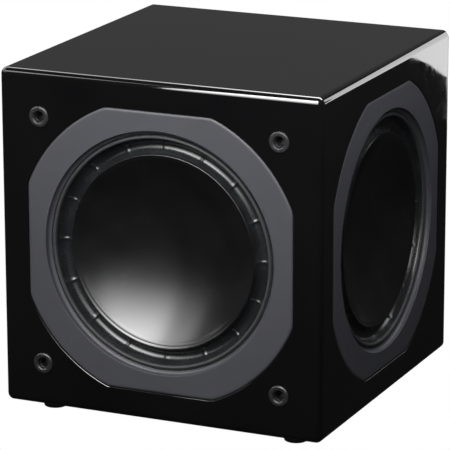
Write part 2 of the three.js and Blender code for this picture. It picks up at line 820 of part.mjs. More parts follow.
// Inlet module: socket with three pins on one side, seat of the rocker on the other.
function mainsInlet() {
  const socketOutline = [[-25, -9.5], [2, -9.5], [2, 5], [-3, 9.5], [-20, 9.5], [-25, 5]];
  const pinSpots = [[-18.5, -3.5], [-4.5, -3.5], [-11.5, 3.5]];
  const body = union([
    block(0, INLET_Y, 68, 34, SEAT_OUT, SEAT_OUT + 2),
    block(0, INLET_Y, INLET_W, INLET_H, -26, SEAT_OUT + 1),
  ]);
  const hollow = cut(body, [
    prism(socketOutline, -14, PLATE_OUT + 6).translate([0, INLET_Y, 0]),
    block(ROCKER_X, INLET_Y, ROCKER_W + 0.8, 22, -8, PLATE_OUT + 6),
  ]);
  const pins = pinSpots.map(([x, y]) => block(x, INLET_Y + y, 2, 4, -15, PLATE_OUT - 1));
  return union([hollow, ...pins]);
}
add("mains_inlet", mainsInlet(), "plastic", REAR);

// Rocker, from its side outline of [y, z] points about the pivot.
function rocker() {
  const side = [[-9.6, 3.6], [0, 2.6], [9.6, 3.6], [9, 0], [4, -5.5], [-4, -5.5], [-9, 0]];
  return solid(bar(side, ROCKER_W).rotateZ(Math.PI / 2))
    .rotate([-ROCKER_TILT, 0, 0])
    .translate([ROCKER_X, INLET_Y, PLATE_OUT - 1.5]);
}
add("power_rocker", rocker(), "plastic", REAR);

const statusLight = lathe(
  [
    [0, BOARD_FRONT + GAP],
    [2.6, BOARD_FRONT + GAP],
    [2.6, -1],
    [1.5, -1],
    [1.5, PLATE_OUT + 0.6],
    [0, PLATE_OUT + 1.3],
  ],
  FACETS.pin,
);
add("status_light", statusLight.translate([0, LAMP_Y, 0]), "lamp", REAR);

const screw = lathe(
  [
    [0, -12],
    [1.7, -12],
    [1.7, SEAT_OUT],
    [4, SEAT_OUT],
    [3.2, SEAT_OUT + 2.2],
    [0, SEAT_OUT + 2.6],
  ],
  FACETS.pin,
);
screwSpots.forEach(([x, y], i) => {
  add(`amp_screw_${i + 1}`, screw.translate([x, y, 0]), "screw", REAR);
});

// Speaker cable from the board past the brace to the terminal block, in world axes.
const cablePath = [
  [-59, Y_REAR - 16, Z_MID - 12],
  [-60, Y_REAR - 40, Z_MID - 26],
  [-58, Y_REAR - 80, Z_MID - 70],
  [-54, Y_REAR - 125, Z_MID - 100],
  [-36, Y_FRONT + 105, Z_MID - 98],
  [-9, Y_FRONT + 62, Z_MID - 90],
  [-7, Y_FRONT + 47, Z_MID - 83],
];
add("speaker_cable", lead(cablePath, 2.2, 18, FACETS.pilot), "cable");

export default subwoofer;
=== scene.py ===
import math

import bmesh
import bpy
import numpy as np
from mathutils import Matrix, Vector

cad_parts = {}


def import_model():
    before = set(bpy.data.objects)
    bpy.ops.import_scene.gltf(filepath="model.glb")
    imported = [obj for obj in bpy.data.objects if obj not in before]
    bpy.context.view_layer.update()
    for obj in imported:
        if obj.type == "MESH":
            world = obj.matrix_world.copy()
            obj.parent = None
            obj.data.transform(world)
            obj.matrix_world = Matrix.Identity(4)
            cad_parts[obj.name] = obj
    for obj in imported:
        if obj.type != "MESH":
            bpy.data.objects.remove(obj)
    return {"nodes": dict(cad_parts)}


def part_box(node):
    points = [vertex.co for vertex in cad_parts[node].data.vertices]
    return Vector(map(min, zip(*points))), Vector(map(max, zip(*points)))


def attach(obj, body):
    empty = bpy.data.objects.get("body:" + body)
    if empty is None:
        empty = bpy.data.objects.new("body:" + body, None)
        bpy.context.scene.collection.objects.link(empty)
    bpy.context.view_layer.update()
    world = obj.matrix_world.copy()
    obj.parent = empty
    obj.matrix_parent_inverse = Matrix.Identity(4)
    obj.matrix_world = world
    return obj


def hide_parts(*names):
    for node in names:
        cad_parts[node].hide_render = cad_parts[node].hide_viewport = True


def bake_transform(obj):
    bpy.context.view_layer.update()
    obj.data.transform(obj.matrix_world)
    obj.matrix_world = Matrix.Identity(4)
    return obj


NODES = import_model()["nodes"]
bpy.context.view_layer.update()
scene = bpy.context.scene
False  # nothing here is simulated

# ------------------------------------------------------------------ frames, in mm
MM = 0.001
PI = math.pi
LOW, HIGH = 0, 1


def panel_face(node, end, axis):
    """Where one face of a CAD panel lies, in mm."""
    return round(getattr(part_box(node)[end], axis) / MM, 3)


Y_FRONT = panel_face("front_baffle", LOW, "y")
X_HALF = panel_face("right_panel", HIGH, "x")
Z_LOW = panel_face("bottom_panel", LOW, "z")
Z_HIGH = panel_face("top_panel", HIGH, "z")
Y_REAR = panel_face("rear_panel", HIGH, "y")
Y_MID = (Y_FRONT + Y_REAR) / 2
Z_MID = (Z_LOW + Z_HIGH) / 2


def basis(x, y, z, origin):
    place = np.eye(4)
    place[:3] = np.column_stack((x, y, z, origin))
    return place


# Each face has its own frame: origin at its middle, y up, z outward. Negative z is inside the box.
WORLD = np.eye(4)
FRONT = basis((1, 0, 0), (0, 0, 1), (0, -1, 0), (0, Y_FRONT, Z_MID))
RIGHT = basis((0, 1, 0), (0, 0, 1), (1, 0, 0), (X_HALF, Y_MID, Z_MID))
LEFT = basis((0, -1, 0), (0, 0, 1), (-1, 0, 0), (-X_HALF, Y_MID, Z_MID))
REAR = basis((-1, 0, 0), (0, 0, 1), (0, 1, 0), (0, Y_REAR, Z_MID))

# the start of body names, the start of node names, the frame
DRIVERS = (("woofer", "woofer", FRONT),
           ("right", "right_radiator", RIGHT),
           ("left", "left_radiator", LEFT))


def shift(place, x, y, z=0.0, turn=0.0):
    """The frame moved by x, y, z and turned about its own z, in degrees."""
    a = math.radians(turn)
    move = np.eye(4)
    move[:2, :2] = [[math.cos(a), -math.sin(a)], [math.sin(a), math.cos(a)]]
    move[:3, 3] = (x, y, z)
    return place @ move


def tilted(angle, origin):
    """A frame at the origin given, tilted about x by an angle in radians."""
    c, s = math.cos(angle), math.sin(angle)
    return basis((1, 0, 0), (0, c, s), (0, -s, c), origin)


# ------------------------------------------------------------------ meshes and outlines
def placed(verts, place):
    return (place[:3, :3] @ np.asarray(verts, float).T).T + place[:3, 3]


def mesh_of(name, verts, faces, place=WORLD, numbers=None):
    """An object from mm points in a frame; numbers are the faces' material numbers."""
    mesh = bpy.data.meshes.new(name)
    mesh.from_pydata((placed(verts, place) * MM).tolist(), [], [list(map(int, f)) for f in faces])
    if numbers is not None:
        mesh.polygons.foreach_set("material_index", np.asarray(numbers, np.int32))
    mesh.validate()
    obj = bpy.data.objects.new(name, mesh)
    scene.collection.objects.link(obj)
    turn_out(mesh)
    return obj


def turn_out(mesh):
    """Turns all normals outward."""
    edit = bmesh.new()
    edit.from_mesh(mesh)
    bmesh.ops.recalc_face_normals(edit, faces=edit.faces[:])
    if edit.calc_volume(signed=True) < 0:
        bmesh.ops.reverse_faces(edit, faces=edit.faces[:])
    edit.to_mesh(mesh)
    edit.free()


class Parts:
    """Collects several closed shells into one mesh, each with its own material number."""

    def __init__(self):
        self.verts, self.faces, self.numbers = [], [], []

    def add(self, shell, number=0, place=WORLD):
        verts, faces = shell
        base = len(self.verts)
        self.verts += placed(verts, place).tolist()
        self.faces += [[i + base for i in face] for face in faces]
        self.numbers += [number] * len(faces)
        return self

    def make(self, name, place=WORLD):
        return mesh_of(name, self.verts, self.faces, place, self.numbers)


def quarter(steps):
    """Angles from 0 to 90 degrees, both ends included."""
    return [PI / 2 * i / steps for i in range(steps + 1)]


def smooth(t):
    return t * t * (3 - 2 * t)


def fillet(points, radius, steps=4, closed=True):
    """Rounds the corners of a polyline; a third number on a point is its own radius."""
    out, count = [], len(points)
    for i, point in enumerate(points):
        size = point[2] if len(point) > 2 else radius
        corner = np.array(point[:2], float)
        if size <= 0 or (not closed and i in (0, count - 1)):
            out.append(tuple(corner))
            continue
        back = np.array(points[i - 1][:2], float) - corner
        ahead = np.array(points[(i + 1) % count][:2], float) - corner
        back_length, ahead_length = np.linalg.norm(back), np.linalg.norm(ahead)
        back, ahead = back / back_length, ahead / ahead_length
        angle = math.acos(max(-1, min(1, float(back @ ahead))))
        if angle > PI - 0.03 or angle < 0.02:
            out.append(tuple(corner))
            continue
        cut = min(size / math.tan(angle / 2), 0.45 * back_length, 0.45 * ahead_length)
        size = cut * math.tan(angle / 2)
        middle = back + ahead
        centre = corner + middle / np.linalg.norm(middle) * (size / math.sin(angle / 2))
        start, end = corner + back * cut - centre, corner + ahead * cut - centre
        first = math.atan2(start[1], start[0])
        sweep = (math.atan2(end[1], end[0]) - first + PI) % (2 * PI) - PI
        for k in range(steps + 1):
            a = first + sweep * k / steps
            out.append((centre[0] + size * math.cos(a), centre[1] + size * math.sin(a)))
    return out


def lathe(profile, count=96):
    """Turns (radius, height) points about z. The profile starts and ends on the axis, or
    closes on itself."""
    angles = np.arange(count) * 2 * PI / count
    on_axis = profile[0][0] < 1e-6 and profile[-1][0] < 1e-6
    verts, index = [], []
    for r, z in profile:
        if r < 1e-6:
            index.append([len(verts)] * count)
            verts.append((0, 0, z))
        else:
            index.append(list(range(len(verts), len(verts) + count)))
            verts += [(r * c, r * s, z) for c, s in zip(np.cos(angles), np.sin(angles))]
    faces = []
    for i in range(len(profile) - 1 if on_axis else len(profile)):
        low, high = index[i], index[(i + 1) % len(profile)]
        for j in range(count):
            k = (j + 1) % count
            face = list(dict.fromkeys((low[j], low[k], high[k], high[j])))
            if len(face) > 2:
                faces.append(face)
    return verts, faces


def sections(rings):
    """Closed sections, (sections, points, 3), joined into a torus-like skin."""
    rings = np.asarray(rings, float)
    n, k = rings.shape[:2]
    faces = [
        [i * k + j, (i + 1) % n * k + j, (i + 1) % n * k + (j + 1) % k, i * k + (j + 1) % k]
        for i in range(n)
        for j in range(k)
    ]
    return rings.reshape(-1, 3), faces


def ring_skin(rings):
    """Rings round the axis, in order round the section, joined into a torus-like skin."""
    return sections(np.transpose(np.array(rings), (1, 0, 2)))


def capped(rings):
    """Closed outlines stacked into a solid with flat ends."""
    rings = np.asarray(rings, float)
    n, k = rings.shape[:2]
    faces = [
        [i * k + j, i * k + (j + 1) % k, (i + 1) * k + (j + 1) % k, (i + 1) * k + j]
        for i in range(n - 1)
        for j in range(k)
    ]
    faces.append(list(range(k))[::-1])
    faces.append(list(range((n - 1) * k, n * k)))
    return rings.reshape(-1, 3), faces


def outline_normals(outline):
    outline = np.asarray(outline, float)
    along = np.roll(outline, -1, 0) - np.roll(outline, 1, 0)
    along /= np.maximum(np.linalg.norm(along, axis=1, keepdims=True), 1e-12)
    return np.stack([along[:, 1], -along[:, 0]], 1)


def unit_rays(outline):
    """Unit vectors from the axis towards each point of an outline."""
    angles = np.arctan2(outline[:, 1], outline[:, 0])
    return np.stack([np.cos(angles), np.sin(angles)], 1)


def ring_of(outline, z):
    return np.column_stack([outline, np.full(len(outline), z)])


def prism(outline, z0, z1):
    return capped([ring_of(outline, z0), ring_of(outline, z1)])


def slab(outline, z0, z1, ease=0.3, steps=3, low_ease=None):
    """An outline given some thickness, its edges eased by quarter rounds."""
    outline = np.asarray(outline, float)
    normals = outline_normals(outline)
    low_ease = ease if low_ease is None else low_ease
    insets = [(0, z0)]
    if low_ease > 0:
        insets = [(low_ease * (1 - math.sin(a)), z0 + low_ease * (1 - math.cos(a)))
                  for a in quarter(steps)]
    if ease > 0:
        insets += [(ease * (1 - math.cos(a)), z1 - ease * (1 - math.sin(a)))
                   for a in quarter(steps)]
    else:
        insets.append((0, z1))
    return capped([ring_of(outline - normals * inset, z) for inset, z in insets])


def flared(outline, z0, z1, ease=0.35):
    """A cutter that leaves an eased edge at z1."""
    outline = np.asarray(outline, float)
    normals = outline_normals(outline)
    rings = [ring_of(outline, z0 - 1.5), ring_of(outline, z1 - ease)]
    for a in quarter(3)[1:]:
        rings.append(ring_of(outline + normals * ease * (1 - math.cos(a)),
                             z1 - ease * (1 - math.sin(a))))
    rings.append(ring_of(outline + normals * ease, z1 + 2))
    return capped(rings)


def rect(width, height, radius=0.5, steps=5, x=0.0, y=0.0):
    dx, dy = width / 2 - radius, height / 2 - radius
    out = []
    for turn, (cx, cy) in enumerate(((dx, dy), (-dx, dy), (-dx, -dy), (dx, -dy))):
        for i in range(steps + 1):
            a = (turn + i / steps) * PI / 2
            out.append((x + cx + radius * math.cos(a), y + cy + radius * math.sin(a)))
    return out


def circle(radius, count=48, x=0.0, y=0.0):
    return [(x + radius * math.cos(2 * PI * i / count), y + radius * math.sin(2 * PI * i / count))
            for i in range(count)]


def brick(x0, x1, y0, y1, z0, z1, ease=0.3, steps=2):
    radius = min(ease * 1.4, 0.3 * (x1 - x0), 0.3 * (y1 - y0))
    outline = rect(x1 - x0, y1 - y0, radius, 3, (x0 + x1) / 2, (y0 + y1) / 2)
    return slab(outline, z0, z1, min(ease, 0.3 * (z1 - z0)), steps)


def carve(obj, cutters, operation="DIFFERENCE", use_self=False):
    """Applies booleans. use_self is for cutters whose own shells may overlap."""
    for cutter in cutters:
        mod = obj.modifiers.new("cut", "BOOLEAN")
        mod.operation, mod.object, mod.solver = operation, cutter, "EXACT"
        mod.use_self = use_self
    graph = bpy.context.evaluated_depsgraph_get()
    mesh = bpy.data.meshes.new_from_object(obj.evaluated_get(graph), depsgraph=graph)
    obj.modifiers.clear()
    obj.data = mesh
    for cutter in cutters:
        bpy.data.objects.remove(cutter)
    return obj


def joined(name, shells, place):
    first = mesh_of(name, *shells[0], place)
    others = [mesh_of(name + str(i), *shell, place) for i, shell in enumerate(shells[1:])]
    return carve(first, others, "UNION")


def shade(obj, angle, weighted):
    """Smooth shading, with edges sharper than the angle kept hard."""
    edit = bmesh.new()
    edit.from_mesh(obj.data)
    limit = math.radians(angle)
    for face in edit.faces:
        face.smooth = True
    for edge in edit.edges:
        edge.smooth = not (len(edge.link_faces) == 2 and edge.calc_face_angle(0) > limit)
    edit.to_mesh(obj.data)
    edit.free()
    if weighted:
        mod = obj.modifiers.new("normals", "WEIGHTED_NORMAL")
        mod.keep_sharp = True
        mod.weight = 80


def dress(obj, materials, body, slot, *nodes, angle=34, weighted=True):
    numbers = np.zeros(len(obj.data.polygons), np.int32)
    obj.data.polygons.foreach_get("material_index", numbers)
    obj.data.materials.clear()
    for material in materials:
        obj.data.materials.append(material)
    obj.data.polygons.foreach_set("material_index", numbers)
    shade(obj, angle, weighted)
    if body:
        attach(obj, body)
    if nodes:
        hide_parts(*nodes)
    return obj


def turned(name, profile, count, place, material, body, slot, *nodes, **shading):
    """A turned piece of one material."""
    obj = mesh_of(name, *lathe(profile, count), place)
    return dress(obj, [material], body, slot, *nodes, **shading)


def blend_along(obj):
    """Bakes the piece's placement into its mesh."""
    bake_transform(obj)


def radial_weights(obj, place):
    """Reads each point's offset from the frame's origin, in mm; nothing is kept or returned."""
    points = np.zeros(len(obj.data.vertices) * 3)
    obj.data.vertices.foreach_get("co", points)
    points = points.reshape(-1, 3) / MM - place[:3, 3]


# ------------------------------------------------------------------ procedural materials
class Shader:
    """One Principled material. Texture scales are per mm and bump heights in mm."""

    def __init__(self, name):
        self.material = bpy.data.materials.new(name)
        self.material.use_nodes = True
        self.tree = self.material.node_tree
        self.tree.nodes.clear()
        out = self.node("ShaderNodeOutputMaterial")
        self.bsdf = self.node("ShaderNodeBsdfPrincipled")
        self.link(self.bsdf.outputs[0], out.inputs[0])
        self.coord = self.node("ShaderNodeTexCoord").outputs["Object"]
        self.in_mm = self.scaled((1000, 1000, 1000))
        self.bump = None

    def node(self, kind, **settings):
        node = self.tree.nodes.new(kind)
        for key, value in settings.items():
            setattr(node, key, value)
        return node

    def link(self, source, target):
        self.tree.links.new(source, target)

    def put(self, socket, value):
        """Links a socket, or sets a number or an (r, g, b) colour."""
        if isinstance(value, bpy.types.NodeSocket):
            self.link(value, socket)
        else:
            socket.default_value = (*value, 1.0) if isinstance(value, tuple) else value

    def scaled(self, scale, turn=(0, 0, 0)):
        """Object coordinates scaled per metre and turned, in radians."""
        node = self.node("ShaderNodeMapping")
        node.inputs["Scale"].default_value = scale
        node.inputs["Rotation"].default_value = turn
        self.link(self.coord, node.inputs["Vector"])
        return node.outputs[0]

    def noise(self, scale, detail=3.0, rough=0.55, vector=None):
        node = self.node("ShaderNodeTexNoise")
        node.inputs["Scale"].default_value = scale
        node.inputs["Detail"].default_value = detail
        node.inputs["Roughness"].default_value = rough
        self.link(vector or self.in_mm, node.inputs["Vector"])
        return node.outputs[0]

    def wave(self, scale, direction):
        node = self.node("ShaderNodeTexWave", wave_type="BANDS", bands_direction=direction)
        node.inputs["Scale"].default_value = scale
        self.link(self.in_mm, node.inputs["Vector"])
        return node.outputs[1]

    def remap(self, value, span=(0.35, 0.65), to=(0.0, 1.0), eased=False):
        node = self.node("ShaderNodeMapRange")
        if eased:
            node.interpolation_type = "SMOOTHSTEP"
        self.put(node.inputs[0], value)
        for i, limit in enumerate((*span, *to), 1):
            node.inputs[i].default_value = limit
        return node.outputs[0]

    def math(self, operation, first, second):
        node = self.node("ShaderNodeMath", operation=operation)
        for socket, value in zip(node.inputs, (first, second, 0.0)):
            self.put(socket, value)
        return node.outputs[0]

    def blend(self, first, second, share):
        """Two values added, the first weighed by share and the second by the rest."""
        return self.math("ADD", self.math("MULTIPLY", first, share),
                         self.math("MULTIPLY", second, 1 - share))

    def mix(self, factor, first, second):
        node = self.node("ShaderNodeMix", data_type="RGBA")
        for i, value in ((0, factor), (6, first), (7, second)):
            self.put(node.inputs[i], value)
        return node.outputs[2]

    def height(self, value, mm):
        """One more bump, on top of those before it."""
        node = self.node("ShaderNodeBump")
        node.inputs["Strength"].default_value = 1.0
        node.inputs["Distance"].default_value = mm * MM
        self.link(value, node.inputs["Height"])
        if self.bump is not None:
            self.link(self.bump, node.inputs["Normal"])
        self.bump = node.outputs[0]

    def done(self, color, rough, metal=0.0, ior=1.5, **others):
        """Fills in the Principled inputs; others are named with _ for a space."""
        inputs = self.bsdf.inputs
        self.put(inputs["Base Color"], color)
        self.put(inputs["Roughness"], rough)
        self.put(inputs["Metallic"], metal)
        inputs["IOR"].default_value = ior
        if self.bump is not None:
            self.link(self.bump, inputs["Normal"])
        for key, value in others.items():
            self.put(inputs[key.replace("_", " ")], value)
        return self.material


def times(color, factor):
    return tuple(c * factor for c in color)


def surface(name, color, rough, grain, metal=0.0, vary=0.12, rough_vary=0.06, mottle=None,
            specks=0.0, **others):
    """A worked surface: colour drift, uneven roughness, fine grain, specks of dust or wear.
    grain and mottle are (noise scale, bump height in mm)."""
    mat = Shader(name)
    broad = mat.noise(scale=0.018)
    mid = mat.noise(scale=0.16, detail=4.0, rough=0.6)
    fine = mat.noise(scale=grain[0], detail=4.0, rough=0.65)
    drift = mat.remap(mat.blend(broad, mid, share=0.5), span=(0.36, 0.64))
    tint = mat.mix(drift, times(color, 1 - vary), times(color, 1 + vary))
    gloss = mat.remap(mat.blend(mid, fine, share=0.6), to=(rough - rough_vary, rough + rough_vary))
    if specks > 0:
        dots = mat.remap(mat.noise(scale=0.9, detail=2.0, rough=0.5), span=(0.70, 0.78),
                         to=(0.0, specks), eased=True)
        tint = mat.mix(dots, tint, (0.3, 0.3, 0.31))
        gloss = mat.math("ADD", gloss, mat.math("MULTIPLY", dots, 0.3))
    if mottle:
        mat.height(mat.noise(scale=mottle[0], rough=0.5), mm=mottle[1])
    mat.height(fine, mm=grain[1])
    return mat.done(tint, gloss, metal, **others)


def lacquer_material():
    mat = Shader("piano_lacquer")
    broad = mat.noise(scale=0.012, detail=2.0, rough=0.5)
    mid = mat.noise(scale=0.09)
    tint = mat.mix(mat.remap(broad), (0.0008, 0.0008, 0.0009), (0.0012, 0.0011, 0.0012))
    # polishing swirls and hairlines, only in how sharp the gloss is
    hair = mat.noise(scale=1.0, detail=2.0, rough=0.5,
                     vector=mat.scaled((1400, 55, 90), turn=(0.3, 0.2, 0.5)))
    cross_hair = mat.noise(scale=1.0, detail=2.0, rough=0.5,
                           vector=mat.scaled((60, 1300, 120), turn=(0.1, 0.5, 0.2)))
    lines = mat.math("MAXIMUM", mat.remap(hair, span=(0.69, 0.75), eased=True),
                     mat.remap(cross_hair, span=(0.70, 0.76), eased=True))
    dust = mat.remap(mat.noise(scale=0.75, detail=2.0, rough=0.5), span=(0.755, 0.80), eased=True)
    gloss = mat.remap(mid, to=(0.016, 0.04))
    for marks, added in ((lines, 0.035), (dust, 0.12)):
        gloss = mat.math("ADD", gloss, mat.math("MULTIPLY", marks, added))
    tint = mat.mix(mat.math("MULTIPLY", dust, 0.03), tint, (0.35, 0.35, 0.36))
    mat.height(mat.noise(scale=0.11, detail=2.0, rough=0.5), mm=0.0035)
    mat.height(mat.noise(scale=0.5, detail=2.0, rough=0.5), mm=0.0005)
    return mat.done(tint, gloss)


def surround_material():
    mat = Shader("surround_rubber")
    broad = mat.noise(scale=0.05)
    fine = mat.noise(scale=1.1, detail=4.0, rough=0.6)
    tint = mat.mix(mat.remap(broad), (0.0052, 0.0056, 0.0060), (0.0080, 0.0086, 0.0092))
    dust = mat.remap(mat.noise(scale=0.8, rough=0.6), span=(0.70, 0.80), eased=True)
    tint = mat.mix(mat.math("MULTIPLY", dust, 0.05), tint, (0.4, 0.4, 0.4))
    gloss = mat.remap(mat.blend(broad, fine, share=0.5), span=(0.36, 0.64), to=(0.20, 0.30))
    mat.height(mat.noise(scale=0.35, rough=0.5), mm=0.006)
    mat.height(fine, mm=0.003)
    return mat.done(tint, gloss, ior=1.52)


def dish_material():
    mat = Shader("diaphragm_paint")
    broad = mat.noise(scale=0.03, rough=0.5)
    fine = mat.noise(scale=2.2, detail=4.0, rough=0.6)
    tint = mat.mix(mat.remap(broad), (0.0018, 0.0018, 0.0020), (0.0028, 0.0028, 0.0031))
    dust = mat.remap(mat.noise(scale=0.7, detail=2.0, rough=0.5), span=(0.765, 0.81), eased=True)
    tint = mat.mix(mat.math("MULTIPLY", dust, 0.03), tint, (0.4, 0.4, 0.42))
    gloss = mat.remap(mat.blend(broad, fine, share=0.6), span=(0.36, 0.64), to=(0.235, 0.275))
    mat.height(mat.noise(scale=0.07, detail=2.0, rough=0.5), mm=0.004)
    mat.height(fine, mm=0.0012)
    return mat.done(tint, gloss, ior=1.62)


def wood_material():
    mat = Shader("board_fibres")
    fibre = mat.noise(scale=1.0, detail=5.0, rough=0.7, vector=mat.scaled((260, 900, 500)))
    broad = mat.noise(scale=0.03, rough=0.5)
    tint = mat.mix(mat.remap(fibre, span=(0.3, 0.7)), (0.16, 0.10, 0.055), (0.30, 0.20, 0.12))
    tint = mat.mix(mat.remap(broad, span=(0.3, 0.7), to=(0.0, 0.35)), tint, (0.12, 0.08, 0.05))
    mat.height(fibre, mm=0.05)
    return mat.done(tint, mat.remap(fibre, span=(0.3, 0.7), to=(0.75, 0.95)), ior=1.4)


def cloth_material():
    mat = Shader("spider_cloth")
    weave = mat.math("MULTIPLY", mat.wave(scale=0.55, direction="X"),
                     mat.wave(scale=0.55, direction="Z"))
    tint = mat.mix(weave, (0.30, 0.15, 0.04), (0.60, 0.36, 0.12))
    mat.height(weave, mm=0.12)
    mat.height(mat.noise(scale=1.5), mm=0.03)
    gloss = mat.remap(mat.noise(scale=0.4), span=(0.3, 0.7), to=(0.75, 0.95))
    return mat.done(tint, gloss, ior=1.4)


def winding_material():
    mat = Shader("copper_winding")
    turns = mat.wave(scale=1.1, direction="Y")
    drift = mat.remap(mat.noise(scale=0.2), span=(0.3, 0.7))
    tint = mat.mix(drift, (0.45, 0.15, 0.06), (0.62, 0.25, 0.11))
    mat.height(turns, mm=0.15)
    mat.height(mat.noise(scale=2.0), mm=0.01)
    gloss = mat.remap(mat.noise(scale=0.6), span=(0.3, 0.7), to=(0.25, 0.42))
    return mat.done(tint, gloss, metal=0.9)


def brushed(name, color, rough, turn=(0, 0, 0)):
    """Metal with fine streaks in one direction."""
    mat = Shader(name)
    streak = mat.noise(scale=1.0, detail=4.0, rough=0.6, vector=mat.scaled((40, 900, 3000), turn))
    broad = mat.noise(scale=0.04, rough=0.5)
    tint = mat.mix(mat.remap(streak, span=(0.3, 0.7)), times(color, 0.82), times(color, 1.12))
    tint = mat.mix(mat.remap(broad, span=(0.4, 0.7), to=(0.0, 0.2)), tint, times(color, 0.55))
    mat.height(streak, mm=0.006)
    mat.height(mat.noise(scale=1.2), mm=0.008)
    gloss = mat.remap(streak, span=(0.3, 0.7), to=(rough - 0.07, rough + 0.09))
    return mat.done(tint, gloss, metal=0.95)


def lamp_material():
    mat = Shader("lamp_lens")
    cloud = mat.noise(scale=0.8)
    tint = mat.mix(mat.remap(cloud, span=(0.3, 0.7)), (0.05, 0.42, 0.10), (0.09, 0.55, 0.16))
    mat.height(cloud, mm=0.01)
    gloss = mat.remap(cloud, span=(0.3, 0.7), to=(0.12, 0.2))
    return mat.done(tint, gloss, ior=1.45, Emission_Color=tint, Emission_Strength=0.5)


LACQUER = lacquer_material()
SURROUND = surround_material()
DISH = dish_material()
WOOD = wood_material()
CLOTH = cloth_material()
WINDING = winding_material()
TRIM = surface("trim_satin", (0.0205, 0.0208, 0.0247), rough=0.50, grain=(2.4, 0.010),
               vary=0.07, rough_vary=0.05, mottle=(0.22, 0.006), specks=0.015)
SOFT = surface("soft_rubber", (0.006, 0.006, 0.0063), rough=0.50, grain=(1.4, 0.02),
               vary=0.2, rough_vary=0.08, mottle=(0.3, 0.03), specks=0.05)
ROLL_EDGE = surface("surround_edge", (0.010, 0.0102, 0.0115), rough=0.64, grain=(1.8, 0.012),
                    vary=0.1, mottle=(0.3, 0.01), specks=0.02)
SOCKET = surface("socket_rubber", (0.009, 0.009, 0.0095), rough=0.27, grain=(1.4, 0.008),
                 vary=0.2, mottle=(0.3, 0.015), specks=0.03)
CAST = surface("cast_frame_paint", (0.012, 0.012, 0.013), rough=0.55, metal=0.2,
               grain=(1.5, 0.04), vary=0.2, specks=0.03)
# near-black, barely shiny paint on the right-hand rebate's wall: painted shade where the near
# light would otherwise light it
REBATE_PAINTED_SHADE = surface("rebate_shadow_paint", (0.0022, 0.0022, 0.0023), rough=0.62,
                      grain=(1.5, 0.02), vary=0.2, specks=0.02, Specular_IOR_Level=0.05)
PLASTIC = surface("black_plastic", (0.012, 0.012, 0.013), rough=0.38, grain=(1.8, 0.012),
                  vary=0.15, rough_vary=0.08, specks=0.03)
KNOB = surface("knob_plastic", (0.014, 0.014, 0.015), rough=0.42, grain=(2.2, 0.012),
               vary=0.15, rough_vary=0.08, specks=0.03)
PLATE = surface("plate_powder_coat", (0.016, 0.016, 0.017), rough=0.52, metal=0.1,
                grain=(1.15, 0.055), vary=0.14, rough_vary=0.08, mottle=(0.4, 0.02), specks=0.03)
INK = surface("marking_ink", (0.62, 0.62, 0.60), rough=0.6, grain=(2.5, 0.006), vary=0.1)
STEEL = brushed("turned_steel", (0.50, 0.51, 0.53), rough=0.34)
ALU = brushed("extruded_aluminium", (0.62, 0.63, 0.64), rough=0.38, turn=(0, 0.5, 0))
BRASS = brushed("jack_plating", (0.75, 0.52, 0.20), rough=0.26, turn=(0.4, 0, 0))
FERRITE = surface("ferrite_block", (0.028, 0.028, 0.030), rough=0.62, metal=0.1,
                  grain=(0.9, 0.05), vary=0.25, specks=0.05)
FORMER = surface("former_film", (0.28, 0.13, 0.03), rough=0.35, metal=0.1,
                 grain=(1.1, 0.01), vary=0.15)
SCREW = surface("blackened_screw", (0.035, 0.035, 0.037), rough=0.34, metal=0.8,
                grain=(2.6, 0.008), vary=0.25, rough_vary=0.1, specks=0.05)
BOARD = surface("circuit_board", (0.012, 0.075, 0.030), rough=0.42, grain=(0.6, 0.02), vary=0.3)
CABLE = surface("cable_jacket", (0.16, 0.012, 0.010), rough=0.55, grain=(1.2, 0.02), vary=0.2)
PIN = brushed("plated_pin", (0.62, 0.60, 0.55), rough=0.28, turn=(0.2, 0.2, 0))
WHITE_PLASTIC = surface("white_insulator", (0.62, 0.61, 0.58), rough=0.45, grain=(1.8, 0.01),
                        vary=0.08)
RED_PLASTIC = surface("red_insulator", (0.42, 0.018, 0.015), rough=0.42, grain=(1.8, 0.01))
COPPER = surface("braided_lead", (0.50, 0.20, 0.09), rough=0.38, metal=0.9,
                 grain=(1.8, 0.05), vary=0.25)
LAMP = lamp_material()

# ------------------------------------------------------------------ cabinet
WALL = 18.0
EDGE = 5.5            # rounding of the box's edges
RING_R = 120.2        # trim ring: round part of the outline
RING_FLAT = 111.6     # trim ring: axis to each of the four flats
RING_T = 5.0
REBATE = 8.9          # depth of the step the ring and frame sit in
CUT_R = 104.0         # hole through the panel
CUT_DEPTH = -21.0
CUT_TOP = 3.0         # cutters start this far outside the face

SOCKET_X, SOCKET_TOP, SOCKET_BOTTOM = 100.7, 98.8, -100.1
SOCKETS = {
    "grille_socket_top_left": (-SOCKET_X, SOCKET_TOP),
    "grille_socket_top_right": (SOCKET_X, SOCKET_TOP),
    "grille_socket_bottom_left": (-SOCKET_X, SOCKET_BOTTOM),
    "grille_socket_bottom_right": (SOCKET_X, SOCKET_BOTTOM),
}
FOOT_IN_X, FOOT_IN_Y = 31, 26
FEET = {
    "foot_front_left": (-X_HALF + FOOT_IN_X, Y_FRONT + FOOT_IN_Y),
    "foot_front_right": (X_HALF - FOOT_IN_X, Y_FRONT + FOOT_IN_Y),
    "foot_rear_left": (-X_HALF + FOOT_IN_X, Y_REAR - FOOT_IN_Y),
    "foot_rear_right": (X_HALF - FOOT_IN_X, Y_REAR - FOOT_IN_Y),
}
# amplifier plate screws, (x, y) on the rear face
SCREWS = [(-94, 99), (0, 101), (94, 99), (-96, 0), (96, 0), (-94, -99), (0, -101), (94, -99)]


